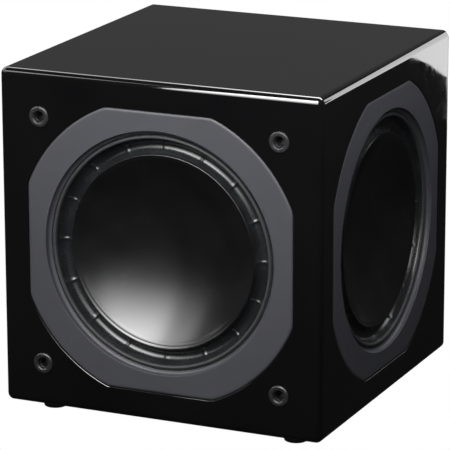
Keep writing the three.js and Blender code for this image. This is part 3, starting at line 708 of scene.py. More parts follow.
def cut_circle(grow, count=720):
    """A circle with four flats, its corners just softened; points and outward normals."""
    angles = np.arange(count) * 2 * PI / count
    sharp = 2.2  # higher keeps the corners crisper
    flat_x = RING_FLAT / np.maximum(np.abs(np.cos(angles)), 1e-3)
    flat_y = RING_FLAT / np.maximum(np.abs(np.sin(angles)), 1e-3)
    least = np.minimum(np.minimum(RING_R, flat_x), flat_y)
    total = (np.exp(-sharp * (RING_R - least)) + np.exp(-sharp * np.minimum(flat_x - least, 60))
             + np.exp(-sharp * np.minimum(flat_y - least, 60)))
    r = least - np.log(total) / sharp
    outline = np.stack([r * np.cos(angles), r * np.sin(angles)], 1)
    normals = outline_normals(outline)
    return outline + normals * grow, normals


def driver_cutter(ease):
    """The rebate for ring and frame, its outer edge eased, and the hole behind it."""
    outline, normals = cut_circle(0.3)
    rings = [ring_of(outline + normals * ease, z) for z in (CUT_TOP, 0.0)]
    for a in quarter(6)[1:]:
        rings.append(ring_of(outline + normals * ease * (1 - math.sin(a)),
                             -ease * (1 - math.cos(a))))
    hole = unit_rays(outline) * CUT_R
    rings += [ring_of(outline, -REBATE), ring_of(hole, -REBATE), ring_of(hole, CUT_DEPTH)]
    return capped(rings)


def hollow_box():
    """The rounded outside with a plain cavity."""
    edit = bmesh.new()
    size = Vector((2 * X_HALF, Y_REAR - Y_FRONT, Z_HIGH - Z_LOW))

    def stretch(verts, less):
        for v in verts:
            v.co = Vector((v.co.x * (size.x - less), v.co.y * (size.y - less) + Y_MID,
                           v.co.z * (size.z - less) + Z_MID))

    bmesh.ops.create_cube(edit, size=1.0)
    stretch(edit.verts, 0)
    bmesh.ops.bevel(edit, geom=edit.edges[:], offset=EDGE, offset_type="OFFSET", segments=10,
                    profile=0.5, affect="EDGES")
    inner = bmesh.ops.create_cube(edit, size=1.0)["verts"]
    stretch(inner, 2 * WALL)
    bmesh.ops.reverse_faces(edit, faces=list({f for v in inner for f in v.link_faces}))
    for v in edit.verts:
        v.co *= MM
    mesh = bpy.data.meshes.new("cabinet_shell")
    edit.to_mesh(mesh)
    edit.free()
    obj = bpy.data.objects.new("cabinet_shell", mesh)
    scene.collection.objects.link(obj)
    return obj


def shell_number(face):
    """0 lacquer, 1 raw board inside and in the cutouts, 2 wall of the right-hand rebate,
    near-black as painted shade.
    """
    x, y, z = np.array(face.center) / MM
    normal = np.abs(np.array(face.normal))
    deep = min(X_HALF - abs(x), y - Y_FRONT, Y_REAR - y, z - Z_LOW, Z_HIGH - z)
    if deep > 9.2 or (deep > 8.5 and normal.max() < 0.999):
        return 1
    dy, dz = y - Y_MID, z - Z_MID
    near_ring = math.hypot(dy, dz) < 125 and max(abs(dy), abs(dz)) < 122
    return 2 if x > X_HALF - 6 and deep > 0.02 and normal[0] < 0.5 and near_ring else 0


def cabinet():
    obj = hollow_box()
    cuts = Parts()
    for place, ease in ((FRONT, 0.75), (RIGHT, 0.1), (LEFT, 0.1)):
        cuts.add(driver_cutter(ease), 0, place)
    for x, y in SOCKETS.values():
        cuts.add(prism(circle(6.3, 48), -12.3, CUT_TOP), 0, shift(FRONT, x, y))
    for x, y in FEET.values():
        cuts.add(prism(circle(3.8, 24), Z_LOW - 2, Z_LOW + 9.5), 0, shift(WORLD, x, y))
    cuts.add(prism(rect(176, 186, 10, 8), CUT_DEPTH, CUT_TOP), 0, REAR)
    for x, y in SCREWS:
        cuts.add(prism(circle(2.2, 16), -13, CUT_TOP), 0, shift(REAR, x, y))
    carve(obj, [cuts.make("cutters")])
    numbers = np.array([shell_number(face) for face in obj.data.polygons], np.int32)
    obj.data.polygons.foreach_set("material_index", numbers)
    dress(obj, [LACQUER, WOOD, REBATE_PAINTED_SHADE], "cabinet", "lacquer", "front_baffle", "right_panel",
          "left_panel", "top_panel", "bottom_panel", "rear_panel")


cabinet()


# ------------------------------------------------------------------ trim rings
def trim_ring(node, place):
    outline, normals = cut_circle(0.0)
    rays = unit_rays(outline)
    drop, width = 1.2, 2.3  # height and width of the rounded outer edge
    rings = [ring_of(outline, -RING_T + 0.3), ring_of(outline, -drop)]
    for a in quarter(9)[1:]:
        rings.append(ring_of(outline - normals * width * (1 - math.cos(a)),
                             -drop * (1 - math.sin(a))))
    rings.append(ring_of(outline - normals * 3.2, 0.0))
    # (radius, height): the flat face, its rounded inner edge, the hollow fillet, the foot
    inner = [(104.0, 0.0), (99.0, 0.0), (97.8, 0.0)]
    inner += [(97.1 - 0.3 * math.sin(a), -0.3 * (1 - math.cos(a))) for a in quarter(6)]
    inner += [(96.8 - 2.3 * (1 - math.cos(a)), -1.5 - 3.05 * math.sin(a)) for a in quarter(10)]
    inner += [(94.1, -4.6), (93.95, -4.75), (94.05, -RING_T)]
    rings += [ring_of(rays * r, z) for r, z in inner]
    rings.append(ring_of(outline - normals * 0.3, -RING_T))
    obj = mesh_of(node + "_face", *ring_skin(rings), place)
    dress(obj, [TRIM], "cabinet", "trim", node, angle=40)


for side, _, place in DRIVERS:
    trim_ring(side + "_trim_ring", place)

# ------------------------------------------------------------------ surrounds
ROLL_MID, ROLL_HALF = 83.6, 5.95      # radius of the roll's middle, half its width
ROLL_DEPTH, ROLL_Z, ROLL_T = 7.2, -6.8, 1.2
RIBS = 16
RIB_PITCH = 2 * PI / RIBS
RIB_ZONE, RIB_WIDTH, RIB_H = 3.4, 1.15, 0.60


def surround_angles():
    """Close steps across each rib, wider ones between."""
    zone = RIB_ZONE / ROLL_MID
    out = []
    for k in range(RIBS):
        out += list(k * RIB_PITCH + np.linspace(-RIB_ZONE, RIB_ZONE, 33) / ROLL_MID)
        out += list(k * RIB_PITCH + np.linspace(zone, RIB_PITCH - zone, 10)[1:-1])
    return np.array(out)


def surround(node, place):
    """An inward roll with low ribs across it, a raised bead on its outer land, and an inner
    land. Profile rows are (radius, height, normal r, normal z, share of the rib)."""
    angles = surround_angles()
    rib = np.zeros(len(angles))
    for k in range(RIBS):
        across = ((angles - k * RIB_PITCH + PI) % (2 * PI) - PI) * ROLL_MID
        rib += RIB_H * np.exp(-((across / RIB_WIDTH) ** 2))

    def plain(points):
        return [(r, z, 0, 0, 0) for r, z in points]

    roll = []
    for degrees in np.linspace(181, 359, 44):
        a = math.radians(degrees)
        normal = np.array([-math.cos(a) / ROLL_HALF, -math.sin(a) / ROLL_DEPTH])
        normal /= np.linalg.norm(normal)
        share = (min(1.0, max(0.0, (degrees - 186) / 40))
                 * min(1.0, max(0.0, (354 - degrees) / 40)))
        roll.append((ROLL_MID + ROLL_HALF * math.cos(a), ROLL_Z + ROLL_DEPTH * math.sin(a),
                     *normal, smooth(share)))
    bead = [(89.6, -6.2), (89.75, -5.3)]
    bead += [(91.3 + 1.32 * math.cos(a), -4.72 + 1.25 * math.sin(a))
             for a in np.linspace(PI - 0.1, 0.12, 15)]
    outer_land = [(92.9, -4.5), (93.7, -4.45), (93.8, -4.6), (93.8, -5.0),
                  (ROLL_MID + ROLL_HALF + ROLL_T, -5.0)]
    back = []
    for degrees in np.linspace(358, 205, 22):
        a = math.radians(degrees)
        back.append((ROLL_MID + (ROLL_HALF + ROLL_T) * math.cos(a),
                     ROLL_Z + (ROLL_DEPTH + ROLL_T) * math.sin(a),
                     -math.cos(a), -math.sin(a), 0.7 if 225 < degrees < 325 else 0.0))
    inner_land = [(76.7, -8.5), (74.0, -9.2), (73.8, -9.0), (73.8, -8.15), (74.0, -8.0),
                  (77.2, -7.05)]
    profile = np.array(roll + plain(bead + outer_land) + back + plain(inner_land))
    satin = np.zeros(len(profile), int)  # the bead is satin, the rest glossy
    satin[len(roll) + 1:len(roll) + len(bead)] = 1

    lift = rib[:, None] * profile[None, :, 4]
    r = profile[None, :, 0] + lift * profile[None, :, 2]
    z = profile[None, :, 1] + lift * profile[None, :, 3]
    rings = np.stack([r * np.cos(angles)[:, None], r * np.sin(angles)[:, None], z], 2)
    obj = mesh_of(node + "_rubber", *sections(rings), place, np.tile(satin, len(angles)))
    dress(obj, [SURROUND, ROLL_EDGE], None, "surround", node, angle=55, weighted=False)
    blend_along(obj)
    radial_weights(obj, place)


for side, unit, place in DRIVERS:
    surround(unit + "_surround", place)

# ------------------------------------------------------------------ dishes
DISH_R, DISH_RISE, DISH_DEPTH = 77.5, 24.0, 29.5
DISH_T = 2.4
SPHERE = (DISH_R ** 2 + DISH_RISE ** 2) / (2 * DISH_RISE)


def dish_depth(r):
    """How far the hollow dish lies behind the panel's face at radius r."""
    return DISH_DEPTH - (SPHERE - math.sqrt(SPHERE * SPHERE - r * r))


def dish(node, place, body, collar):
    """A spherical dish with a turned rim; the collar behind it takes the coil former."""
    profile = [(0.0, -dish_depth(0))]
    profile += [(float(r), -dish_depth(r)) for r in np.linspace(1.5, 75.8, 48)]
    rim = [(75.8, -dish_depth(75.8)), (76.75, -dish_depth(76.75), 0.8), (77.4, -6.72, 0.08),
           (76.6, -6.82)]
    profile += fillet(rim, 0.3, 8, closed=False)[1:]
    profile += [(75.0, -7.1), (73.4, -7.6)]
    profile += [(float(r), -dish_depth(r) - DISH_T * min(1.0, (78 - r) / 20))
                for r in np.linspace(70, 29, 12)]
    if collar:
        base = -dish_depth(26) - DISH_T
        profile += [(28.1, base), (27.7, base - 1.0), (27.1, base - 6), (25.8, base - 6),
                    (25.8, base)]
    profile += [(float(r), -dish_depth(r) - DISH_T) for r in (24, 16, 8, 0)]
    turned(node + "_dish", profile, 256, place, DISH, body, "diaphragm", node,
           angle=40, weighted=False)


for side, unit, place in DRIVERS:
    dish(unit + "_diaphragm", place, side + "_cone", collar=side == "woofer")

# ------------------------------------------------------------------ grille sockets and feet
# (radius, height, corner radius), from the inner end to the lip and down the bore
SOCKET_PROFILE = [
    (6.0, -12.0, 0.4), (6.0, 0.04, 0), (8.2, 0.04, 0.05), (8.3, 0.7, 0.4), (7.5, 1.4, 0.75),
    (5.3, 1.4, 0.7), (4.25, 0.3, 0.6), (4.0, -1.6, 0.3), (3.6, -2.0, 0.2), (3.6, -3.2, 0.2),
    (4.0, -3.7, 0.2), (4.0, -10.4, 0.3),
]
# the same columns, from the floor up to the peg in the bottom panel
FOOT_PROFILE = [
    (6.1, 0.0, 0.1), (6.3, 0.35, 0.1), (7.0, 0.35, 0.1), (7.2, 0.0, 0.1), (9.0, 0.0, 0.8),
    (10.1, 3.4, 0.3), (9.9, 3.9, 0.2), (10.4, 4.5, 0.2), (11.7, 7.0, 0.4), (11.7, 7.96, 0.3),
    (3.5, 7.96, 0.1), (3.5, 16.0, 0.6),
]
for node, (x, y) in SOCKETS.items():
    profile = [(0.0, -12.0)] + fillet(SOCKET_PROFILE, 0.3, 5, closed=False) + [(0.0, -10.4)]
    turned(node + "_grommet", profile, 72, shift(FRONT, x, y), SOCKET, "cabinet", "soft_rubber",
           node, angle=45)
for node, (x, y) in FEET.items():
    profile = [(0.0, 0.0), (5.9, 0.0)] + fillet(FOOT_PROFILE, 0.3, 4, closed=False)
    turned(node + "_rubber", profile + [(0.0, 16.0)], 72, shift(WORLD, x, y), SOFT, "cabinet",
           "soft_rubber", node, angle=45)

# ------------------------------------------------------------------ drive unit frames
FLANGE_TOP, FLANGE_BACK = -5.3, -8.6
# flange sections of both frames, (radius, height)
FLANGE_EDGE = [(92.0, FLANGE_TOP), (98.5, FLANGE_TOP), (98.5, FLANGE_BACK), (102.5, FLANGE_BACK)]
BASKET_PROFILE = FLANGE_EDGE + [
    (98, -13), (84, -36), (67, -52), (61, -56), (60, -68.7), (34, -68.7), (34, -66.2),
    (57.5, -66.2), (57.5, -52.5), (63.2, -52.5), (81, -34.5), (95.2, -12), (92.0, FLANGE_BACK),
]
RADIATOR_PROFILE = FLANGE_EDGE + [(97, -26), (93, -26), (93, -13), (92.0, FLANGE_BACK)]


def flange_ring():
    outline, normals = cut_circle(-0.3, 360)
    inner = unit_rays(outline) * 98.0
    inset = outline - normals * 0.2
    return ring_skin([
        ring_of(outline, -8.4), ring_of(outline, -5.5), ring_of(inset, FLANGE_TOP),
        ring_of(inner, FLANGE_TOP), ring_of(inner, FLANGE_BACK), ring_of(inset, FLANGE_BACK)])


def basket():
    """The woofer's basket: six windows between spokes, and a slot for the terminal block."""
    rim = fillet(BASKET_PROFILE, 0.6, 3)
    obj = joined("woofer_basket_casting", [lathe(rim, 144), flange_ring()], FRONT)
    cuts = Parts()
    slope = math.tan(math.radians(21))
    near, far, spoke = 58, 125, 3
    window = fillet([(near, -near * slope + spoke), (far, -far * slope + spoke),
                     (far, far * slope - spoke), (near, near * slope - spoke)], 5.0, 5)
    for i in range(6):
        cuts.add(prism(window, -47.5, -15), 0, shift(WORLD, 0, 0, turn=60 * i))
    cuts.add(prism(rect(26.6, 26, 0.3, 2, 0, -79), -46.3, -37.7))
    carve(obj, [cuts.make("windows", FRONT)])
    dress(obj, [CAST], "cabinet", "frame", "woofer_basket")


def radiator_frame(side, place):
    rim = fillet(RADIATOR_PROFILE, 0.5, 3)
    obj = joined(side + "_radiator_frame_casting", [lathe(rim, 144), flange_ring()], place)
    dress(obj, [CAST], "cabinet", "frame", side + "_radiator_frame")


def radiator_weight(side, place):
    """The steel mass behind the radiator's dish, a groove round it and a boss at its back."""
    top = -(dish_depth(0) + DISH_T + 0.3)
    profile = [(30, top, 0.4), (30, top - 3.6, 0.3), (29.4, top - 4.0, 0.2),
               (30, top - 4.4, 0.3), (30, top - 8, 0.6), (6, top - 8, 0.2),
               (6, top - 11, 0.5), (2.4, top - 11, 0.2), (2.4, top - 8.5, 0.1)]
    profile = [(0.0, top)] + fillet(profile, 0.3, 3, closed=False) + [(0.0, top - 8.5)]
    turned(side + "_radiator_weight", profile, 96, place, STEEL, side + "_cone", "steel",
           side + "_radiator_mass")


basket()
for side, _, place in DRIVERS[1:]:
    radiator_frame(side, place)
    radiator_weight(side, place)

# ------------------------------------------------------------------ woofer motor
FORMER_IN, FORMER_OUT = 24.9, 25.5
FORMER_TOP = -(dish_depth(FORMER_IN) + 2.7)
COIL_TURNS, COIL_FIRST, COIL_SPAN = 26, -63.35, 19.3


def coil_profile():
    turns = []
    for i in range(COIL_TURNS):
        z = COIL_FIRST - i * (COIL_SPAN / (COIL_TURNS - 1))
        turns += [(27.72, z + 0.33), (27.85, z), (27.72, z - 0.33)]
    return [(25.68, -63.0), (27.6, -63.0)] + turns + [(27.6, -83.0), (25.68, -83.0)]


turned("woofer_former_tube",
       fillet([(FORMER_IN, FORMER_TOP), (FORMER_OUT, FORMER_TOP), (FORMER_OUT, -85),
               (FORMER_IN, -85)], 0.12, 2),
       96, FRONT, FORMER, "woofer_cone", "former", "woofer_former", angle=40)
turned("woofer_coil_winding", coil_profile(), 96, FRONT, WINDING, "woofer_cone", "copper",
       "woofer_coil", angle=50)
turned("woofer_top_plate_steel",
       fillet([(28.9, -69), (56, -69, 0.8), (56, -77, 0.8), (28.9, -77)], 0.3, 3),
       96, FRONT, STEEL, "cabinet", "steel", "woofer_top_plate")
turned("woofer_magnet_ring",
       fillet([(33, -77.3), (60, -77.3), (60, -99.3), (33, -99.3)], 1.2, 4),
       128, FRONT, FERRITE, "cabinet", "ferrite", "woofer_magnet")
turned("woofer_yoke_steel",
       fillet([(8, -68), (24.2, -68, 0.6), (24.2, -99.6, 0.2), (56, -99.6, 0.8),
               (56, -107.6, 1.0), (8, -107.6, 1.2)], 0.3, 3),
       96, FRONT, STEEL, "cabinet", "steel", "woofer_yoke")


def spider():
    """The corrugated cloth disc between the coil former and the basket."""
    middle, wave, half_pitch, half_thick = -51, 1.3, 7.0, 0.35
    top, bottom = [], []
    for r in np.linspace(28.2, 55.5, 56):
        fade = min(1.0, (r - 27.5) / 3, (57 - r) / 3)
        z = middle - wave * math.cos((r - 30) / half_pitch * PI) * fade
        top.append((float(r), z + half_thick))
        bottom.append((float(r), z - half_thick))
    profile = [(25.82, -48.7), (26.7, -48.7), (27.0, -50.2)] + top
    profile += [(57, -51.4), (62.5, -51.4), (62.5, -52.2), (57, -52.2)]
    profile += bottom[::-1] + [(25.82, -51.4)]
    obj = turned("woofer_spider_cloth", profile, 128, FRONT, CLOTH, None, "spider_cloth",
                 "woofer_spider", angle=50, weighted=False)
    blend_along(obj)
    radial_weights(obj, FRONT)


def braid(points, radius=0.85, steps=10, sides=10, lumps=0.06):
    """A round lead along a smooth curve through the points, with domed ends."""
    points = np.asarray(points, float)
    ends = np.vstack([2 * points[0] - points[1], points, 2 * points[-1] - points[-2]])
    path = []
    for i in range(1, len(ends) - 2):
        a, b, c, d = ends[i - 1:i + 3]
        for k in range(steps):
            t = k / steps
            path.append(0.5 * (2 * b + (c - a) * t + (2 * a - 5 * b + 4 * c - d) * t * t
                               + (3 * b - a - 3 * c + d) * t ** 3))
    path.append(points[-1])
    path = np.array(path)
    along = np.gradient(path, axis=0)
    along /= np.linalg.norm(along, axis=1, keepdims=True)
    up = np.array([0.0, 0.0, 1.0]) if abs(along[0][2]) < 0.9 else np.array([1.0, 0, 0])
    dome = {0: 0.55, 1: 0.9}
    rings = []
    for i, (centre, ahead) in enumerate(zip(path, along)):
        across = np.cross(up, ahead)
        across /= np.linalg.norm(across)
        up = np.cross(ahead, across)
        scale = dome.get(min(i, len(path) - 1 - i), 1.0)
        lump = 1 + lumps * math.sin(i * 1.9)
        angles = np.arange(sides) * 2 * PI / sides + i * 0.3
        rings.append(centre + radius * scale * lump * (np.cos(angles)[:, None] * across
                                                       + np.sin(angles)[:, None] * up))
    return capped(rings)


def lead(tag, side):
    """A braided lead from the terminal block to the cone."""
    points = [(side * 8, -67.6, -42), (side * 8.2, -60, -39.5), (side * 7, -48, -37.8),
              (side * 5.4, -37, -39.5), (side * 4.4, -27.4, -42.5)]
    obj = mesh_of("woofer_lead_" + tag + "_braid", *braid(points), FRONT)
    dress(obj, [COPPER], None, "copper", "woofer_lead_" + tag, angle=60, weighted=False)
    blend_along(obj)


def terminal_block():
    block = Parts().add(brick(-13, 13, -88, -68, -46, -38, 0.8, 3), 0)
    for x in (-7, 7):
        block.add(brick(x - 2, x + 2, -92, -86.5, -43, -41.8, 0.2), 1)
        block.add(slab(circle(2.4, 32, x, -78), -38.1, -37.8, 0.1), 1)
    dress(block.make("woofer_terminal_block", FRONT), [PLASTIC, BRASS], "cabinet",
          "black_plastic", "woofer_terminal", angle=40)


spider()
lead("a", -1)
lead("b", 1)
terminal_block()

# ------------------------------------------------------------------ amplifier on the rear
UNDER, FACE = 0.3, 3.3     # heights of the plate's inner and outer faces
KNOB_X, KNOB_Y = 38, 58
KNOB_H = 14.0
SWITCH_X, SWITCH_Y = 38, 18
JACK_X, JACK_Y = 13, -20
INLET_Y, ROCKER_X = -72, 20
INLET_FACE = FACE + 2.3
LAMP_Y = 84


def amp_plate():
    obj = mesh_of("amp_plate_face",
                  *slab(rect(206, 216, 6, 10), UNDER - 0.25, FACE, 0.7, 4, 0.2), REAR)
    cuts = Parts()
    for x, y in SCREWS:
        cuts.add(flared(circle(2.4, 24, x, y), UNDER, FACE))
    for s in (-1, 1):
        knob, switch = (s * KNOB_X, KNOB_Y), (s * SWITCH_X, SWITCH_Y)
        cuts.add(flared(circle(3.8, 32, *knob), UNDER, FACE))
        cuts.add(flared(rect(4.8, 9.6, 0.5, 4, *switch), UNDER, FACE, 0.5))
        cuts.add(flared(circle(4.8, 40, s * JACK_X, JACK_Y), UNDER, FACE))
        # shallow seats round the knobs and the slide switches
        for seat in (circle(11.4, 72, *knob), rect(10.5, 16.5, 2.2, 6, *switch)):
            cuts.add(slab(seat, FACE - 0.3, FACE + 2, 0, low_ease=0.15))
    cuts.add(flared(circle(2.0, 24, 0, LAMP_Y), UNDER, FACE))
    cuts.add(flared(rect(60.8, 28.8, 0.6, 4, 0, INLET_Y), UNDER, FACE, 0.2))
    carve(obj, [cuts.make("plate_cutters", REAR)], use_self=True)
    dress(obj, [PLATE], "cabinet", "plate_metal", "amp_plate")


INK_LOW, INK_TOP = FACE - 0.02, FACE + 0.05


def printed(outline):
    return slab(outline, INK_LOW, INK_TOP, 0.02, 1)


def line_frame(width, height, y, line, radius):
    """A thin printed frame line."""
    outer = np.array(rect(width, height, radius, 6, 0, y))
    inner = np.array(rect(width - 2 * line, height - 2 * line, radius - line, 6, 0, y))
    return ring_skin([ring_of(outer, INK_LOW), ring_of(outer, INK_TOP),
                      ring_of(inner, INK_TOP), ring_of(inner, INK_LOW)])


def plate_marks():
    """Ticks round both knobs, bars and dots by the switches, frames round jacks and plate."""
    ink = Parts()
    for s in (-1, 1):
        for i in range(11):
            length = 3.0 if i in (0, 5, 10) else 1.9
            ink.add(printed(rect(0.55, length, 0.12, 2, 0, 13.1 + length / 2)), 0,
                    shift(WORLD, s * KNOB_X, KNOB_Y, turn=150 - 30 * i))
        for dy in (-11.3, 11.3):
            ink.add(printed(rect(5.0, 0.5, 0.12, 2, s * SWITCH_X, SWITCH_Y + dy)))
        for dy in (2.5, -2.5):
            ink.add(printed(circle(0.75, 20, s * SWITCH_X + 8.2, SWITCH_Y + dy)))
    ink.add(line_frame(52, 30, JACK_Y, line=0.5, radius=3.0))
    ink.add(line_frame(188, 198, 0, line=0.45, radius=5.0))
    dress(ink.make("amp_plate_marks", REAR), [INK], "cabinet", "plate_metal", angle=60)


def knob(body, x, turn):
    """A knurled knob on its shaft, with a pointer line on its top and flank."""
    count, ridges = 288, 36
    angles = np.arange(count) * 2 * PI / count
    wave = 0.5 + 0.5 * np.cos(angles * ridges)
    knurl = -0.32 * (1 - wave ** 0.6)
    top = FACE + 0.3 + KNOB_H
    low = FACE - 0.15
    grip = [(9.0, low + 0.1, 0.3), (9.0, low + 2.2, 0.3), (8.55, low + 2.6, 0.2),
            (8.3, top - 1.3, 0.5), (7.4, top, 0.6), (6.2, top, 0.2), (5.9, top - 0.35, 0.3)]
    profile = [(3.0, -8.0), (3.0, low), (8.7, low)] + fillet(grip, 0.3, 4, closed=False)
    rings = []
    for r, z in profile:
        on_grip = low + 2.9 < z < top - 1.2 and r > 7.9
        radii = r + knurl * (1.0 if on_grip else 0.0)
        rings.append(np.column_stack([radii * np.cos(angles), radii * np.sin(angles),
                                      np.full(count, z)]))
    parts = Parts().add(capped(rings), 0)
    parts.add(slab(rect(0.9, 5.6, 0.2, 3, 0, 5.9), top - 0.45, top + 0.02, 0.08, 2), 1)
    parts.add(brick(-0.45, 0.45, 8.0, 8.62, low + 2.8, top - 0.9, 0.1), 1)
    obj = parts.make(body + "_knob_grip", shift(REAR, x, KNOB_Y, turn=turn))
    dress(obj, [KNOB, INK], body, "black_plastic", body + "_knob", angle=38)


def slide_switch(node, body, x):
    """A slider with five ridges, the end ones higher."""
    parts = Parts()
    y = SWITCH_Y - 2.5
    parts.add(brick(x - 2.0, x + 2.0, y - 2.0, y + 2.0, -6.5, FACE + 1.6, 0.25))
    for i in range(5):
        ridge = y - 1.6 + i * 0.8
        top = FACE + (3.2 if i in (0, 4) else 2.7)
        parts.add(brick(x - 1.9, x + 1.9, ridge - 0.28, ridge + 0.28, FACE + 1.2, top, 0.12))
    dress(parts.make(node + "_slider", REAR), [PLASTIC], body, "black_plastic", node, angle=38)


def hex_nut():
    outline = [(6.6 * math.cos(i * PI / 3), 6.6 * math.sin(i * PI / 3)) for i in range(6)]
    outline = np.array(fillet(outline, 0.6, 3))
    bore = unit_rays(outline) * 4.2
    low, top = FACE + 0.02, FACE + 1.75
    return ring_skin([
        ring_of(outline, low), ring_of(outline, FACE + 1.4),
        ring_of(outline - outline_normals(outline) * 0.3, top),
        ring_of(bore, top), ring_of(bore, low)])


def line_jack(node, x, insulator):
    """A phono socket: plated shell, nut and centre contact, insulating core, housing inside."""
    shell = [(3.35, FACE + 8.6, 0.2), (4.1, FACE + 8.6, 0.3), (4.1, FACE + 7.2, 0.1),
             (3.95, FACE + 6.9, 0.1), (3.95, FACE + 2.0, 0.1), (4.15, FACE + 1.8, 0.05),
             (4.15, 0.4, 0.1), (4.15, -11.0, 0.2), (3.35, -11.0, 0.2)]
    core = [(1.6, FACE + 8.2, 0.2), (3.3, FACE + 8.2, 0.15), (3.3, -8.0, 0.1), (1.6, -8.0, 0.1)]
    contact = [(1.2, FACE + 7.0), (1.55, FACE + 7.0), (1.55, -8.0), (1.2, -8.0)]
    housing = [(4.4, -0.1, 0.2), (6.7, -0.1, 0.4), (6.7, -11.6, 0.4), (4.4, -11.6, 0.2)]
    parts = Parts().add(lathe(fillet(shell, 0.1, 3), 64), 0)
    parts.add(hex_nut(), 0)
    parts.add(lathe(fillet(core, 0.1, 3), 48), 1)
    parts.add(lathe(fillet(contact, 0.05, 2), 40), 0)
    parts.add(lathe(fillet(housing, 0.3, 3), 48), 2)
    dress(parts.make(node + "_socket", shift(REAR, x, JACK_Y)), [BRASS, insulator, PLASTIC],
          "cabinet", "jack_brass", node, angle=38)


def inlet():
    """The mains inlet: a flanged body with a socket, three pins, and an opening for the rocker."""
    obj = joined("mains_inlet_body", [
        slab(rect(68, 34, 3.0, 6, 0, INLET_Y), FACE + 0.02, INLET_FACE, 0.6, 4, 0.05),
        slab(rect(60, 28, 0.8, 4, 0, INLET_Y), -26, FACE + 1.0, 0.3, 2),
    ], REAR)
    socket = fillet([(-25, -9.5), (2, -9.5), (2, 5), (-3, 9.5), (-20, 9.5), (-25, 5)], 1.2, 5)
    cuts = Parts()
    cuts.add(flared([(x, y + INLET_Y) for x, y in socket], -12.5, INLET_FACE, 0.6))
    cuts.add(flared(rect(13.2, 22, 0.8, 4, ROCKER_X, INLET_Y), -6.5, INLET_FACE, 0.5))
    carve(obj, [cuts.make("inlet_cuts", REAR)])
    dress(obj, [PLASTIC], "cabinet", "black_plastic", "mains_inlet")
    pins = Parts()
    for x, y in ((-18.5, -3.5), (-4.5, -3.5), (-11.5, 3.5)):
        pins.add(brick(x - 1, x + 1, INLET_Y + y - 2, INLET_Y + y + 2, -15, FACE - 1, 0.35, 3))
    dress(pins.make("mains_inlet_pins", REAR), [PIN], "cabinet", "jack_brass", angle=38)


def rocker():
    """The power rocker, tipped to one side, with a printed bar on each half."""
    half, dip, rise = 9.6, 2.6, 1.0
    side = fillet([(-half, 3.6, 0.5), (0, dip, 6.0), (half, 3.6, 0.5), (9, 0, 0.6),
                   (4, -5.5, 0.8), (-4, -5.5, 0.8), (-9, 0, 0.6)], 0.5, 5)
    verts, faces = slab(side, -6.2, 6.2, 0.45, 3)
    # the side outline lies in y and z, its thickness in x
    parts = Parts().add((verts[:, [2, 0, 1]], faces), 0)
    for y in (6.2, -6.2):
        tilt = math.copysign(math.atan2(rise, half), y)
        parts.add(slab(rect(3.4, 0.7, 0.2, 2), 0, 0.12, 0.04, 1), 1,
                  tilted(tilt, (0, y, dip + abs(y) / half - 0.02)))
    tipped = tilted(math.radians(-9), (ROCKER_X, INLET_Y, FACE - 1.5))
    dress(parts.make("power_rocker_cap", REAR @ tipped), [PLASTIC, INK], "power",
          "black_plastic", "power_rocker", angle=38)


def status_light():
    """A domed lens with a small bezel round it."""
    place = shift(REAR, 0, LAMP_Y)
    lens = [(0.0, -11.7)] + fillet([(2.6, -11.7), (2.6, -1), (1.5, -1), (1.5, FACE + 0.5)],
                                   0.2, 3, closed=False)
    lens += [(1.5 * math.cos(a), FACE + 0.5 + 0.8 * math.sin(a))
             for a in np.linspace(0.15, PI / 2 - 0.15, 8)]
    turned("status_light_lens", lens + [(0.0, FACE + 1.3)], 40, place, LAMP, "cabinet", "lamp",
           "status_light", angle=50)
    bezel = [(1.6, FACE + 0.01), (3.1, FACE + 0.01), (2.8, FACE + 0.5), (1.9, FACE + 0.5)]
    turned("status_light_bezel", fillet(bezel, 0.15, 3), 48, place, PLASTIC, "cabinet",
           "black_plastic", angle=40)


def screw_mesh():
    """One cross-head screw, its axis on z."""
    profile = [(0.5, -12.0, 0.1), (1.7, -10.2, 0.2), (1.7, FACE + 0.02, 0.05),
               (4.0, FACE + 0.02, 0.05), (3.95, FACE + 0.9, 0.4), (3.1, FACE + 2.2, 1.2),
               (1.2, FACE + 2.6, 0.8)]
    profile = [(0.0, -12.0)] + fillet(profile, 0.2, 5, closed=False) + [(0.0, FACE + 2.6)]
    obj = mesh_of("screw_master", *lathe(profile, 64))
    slot = capped([ring_of(rect(length, width, 0.15, 2), z)
                   for z, width, length in ((FACE + 0.9, 0.45, 2.0), (FACE + 3.0, 0.75, 4.2))])
    cross = Parts()
    for turn in (18, 108):
        cross.add(slot, 0, shift(WORLD, 0, 0, turn=turn))
    mesh = carve(obj, [cross.make("cross")], use_self=True).data
    bpy.data.objects.remove(obj)
    return mesh


def amp_screws():
    master = screw_mesh()
    for i, (x, y) in enumerate(SCREWS):
        mesh = master.copy()
        place = shift(REAR, x, y, turn=37 * i)
        place[:3, 3] *= MM
        mesh.transform(Matrix(place.tolist()))
        obj = bpy.data.objects.new("amp_screw_%d_head" % (i + 1), mesh)
        scene.collection.objects.link(obj)
        turn_out(mesh)
        dress(obj, [SCREW], "cabinet", "screw_steel", "amp_screw_%d" % (i + 1))


amp_plate()
plate_marks()
knob("volume", -KNOB_X, 150)
knob("crossover", KNOB_X, 0)
slide_switch("phase_switch", "phase", -SWITCH_X)
slide_switch("auto_switch", "auto_on", SWITCH_X)
line_jack("line_jack_left", -JACK_X, WHITE_PLASTIC)
line_jack("line_jack_right", JACK_X, RED_PLASTIC)
inlet()
rocker()
status_light()
amp_screws()

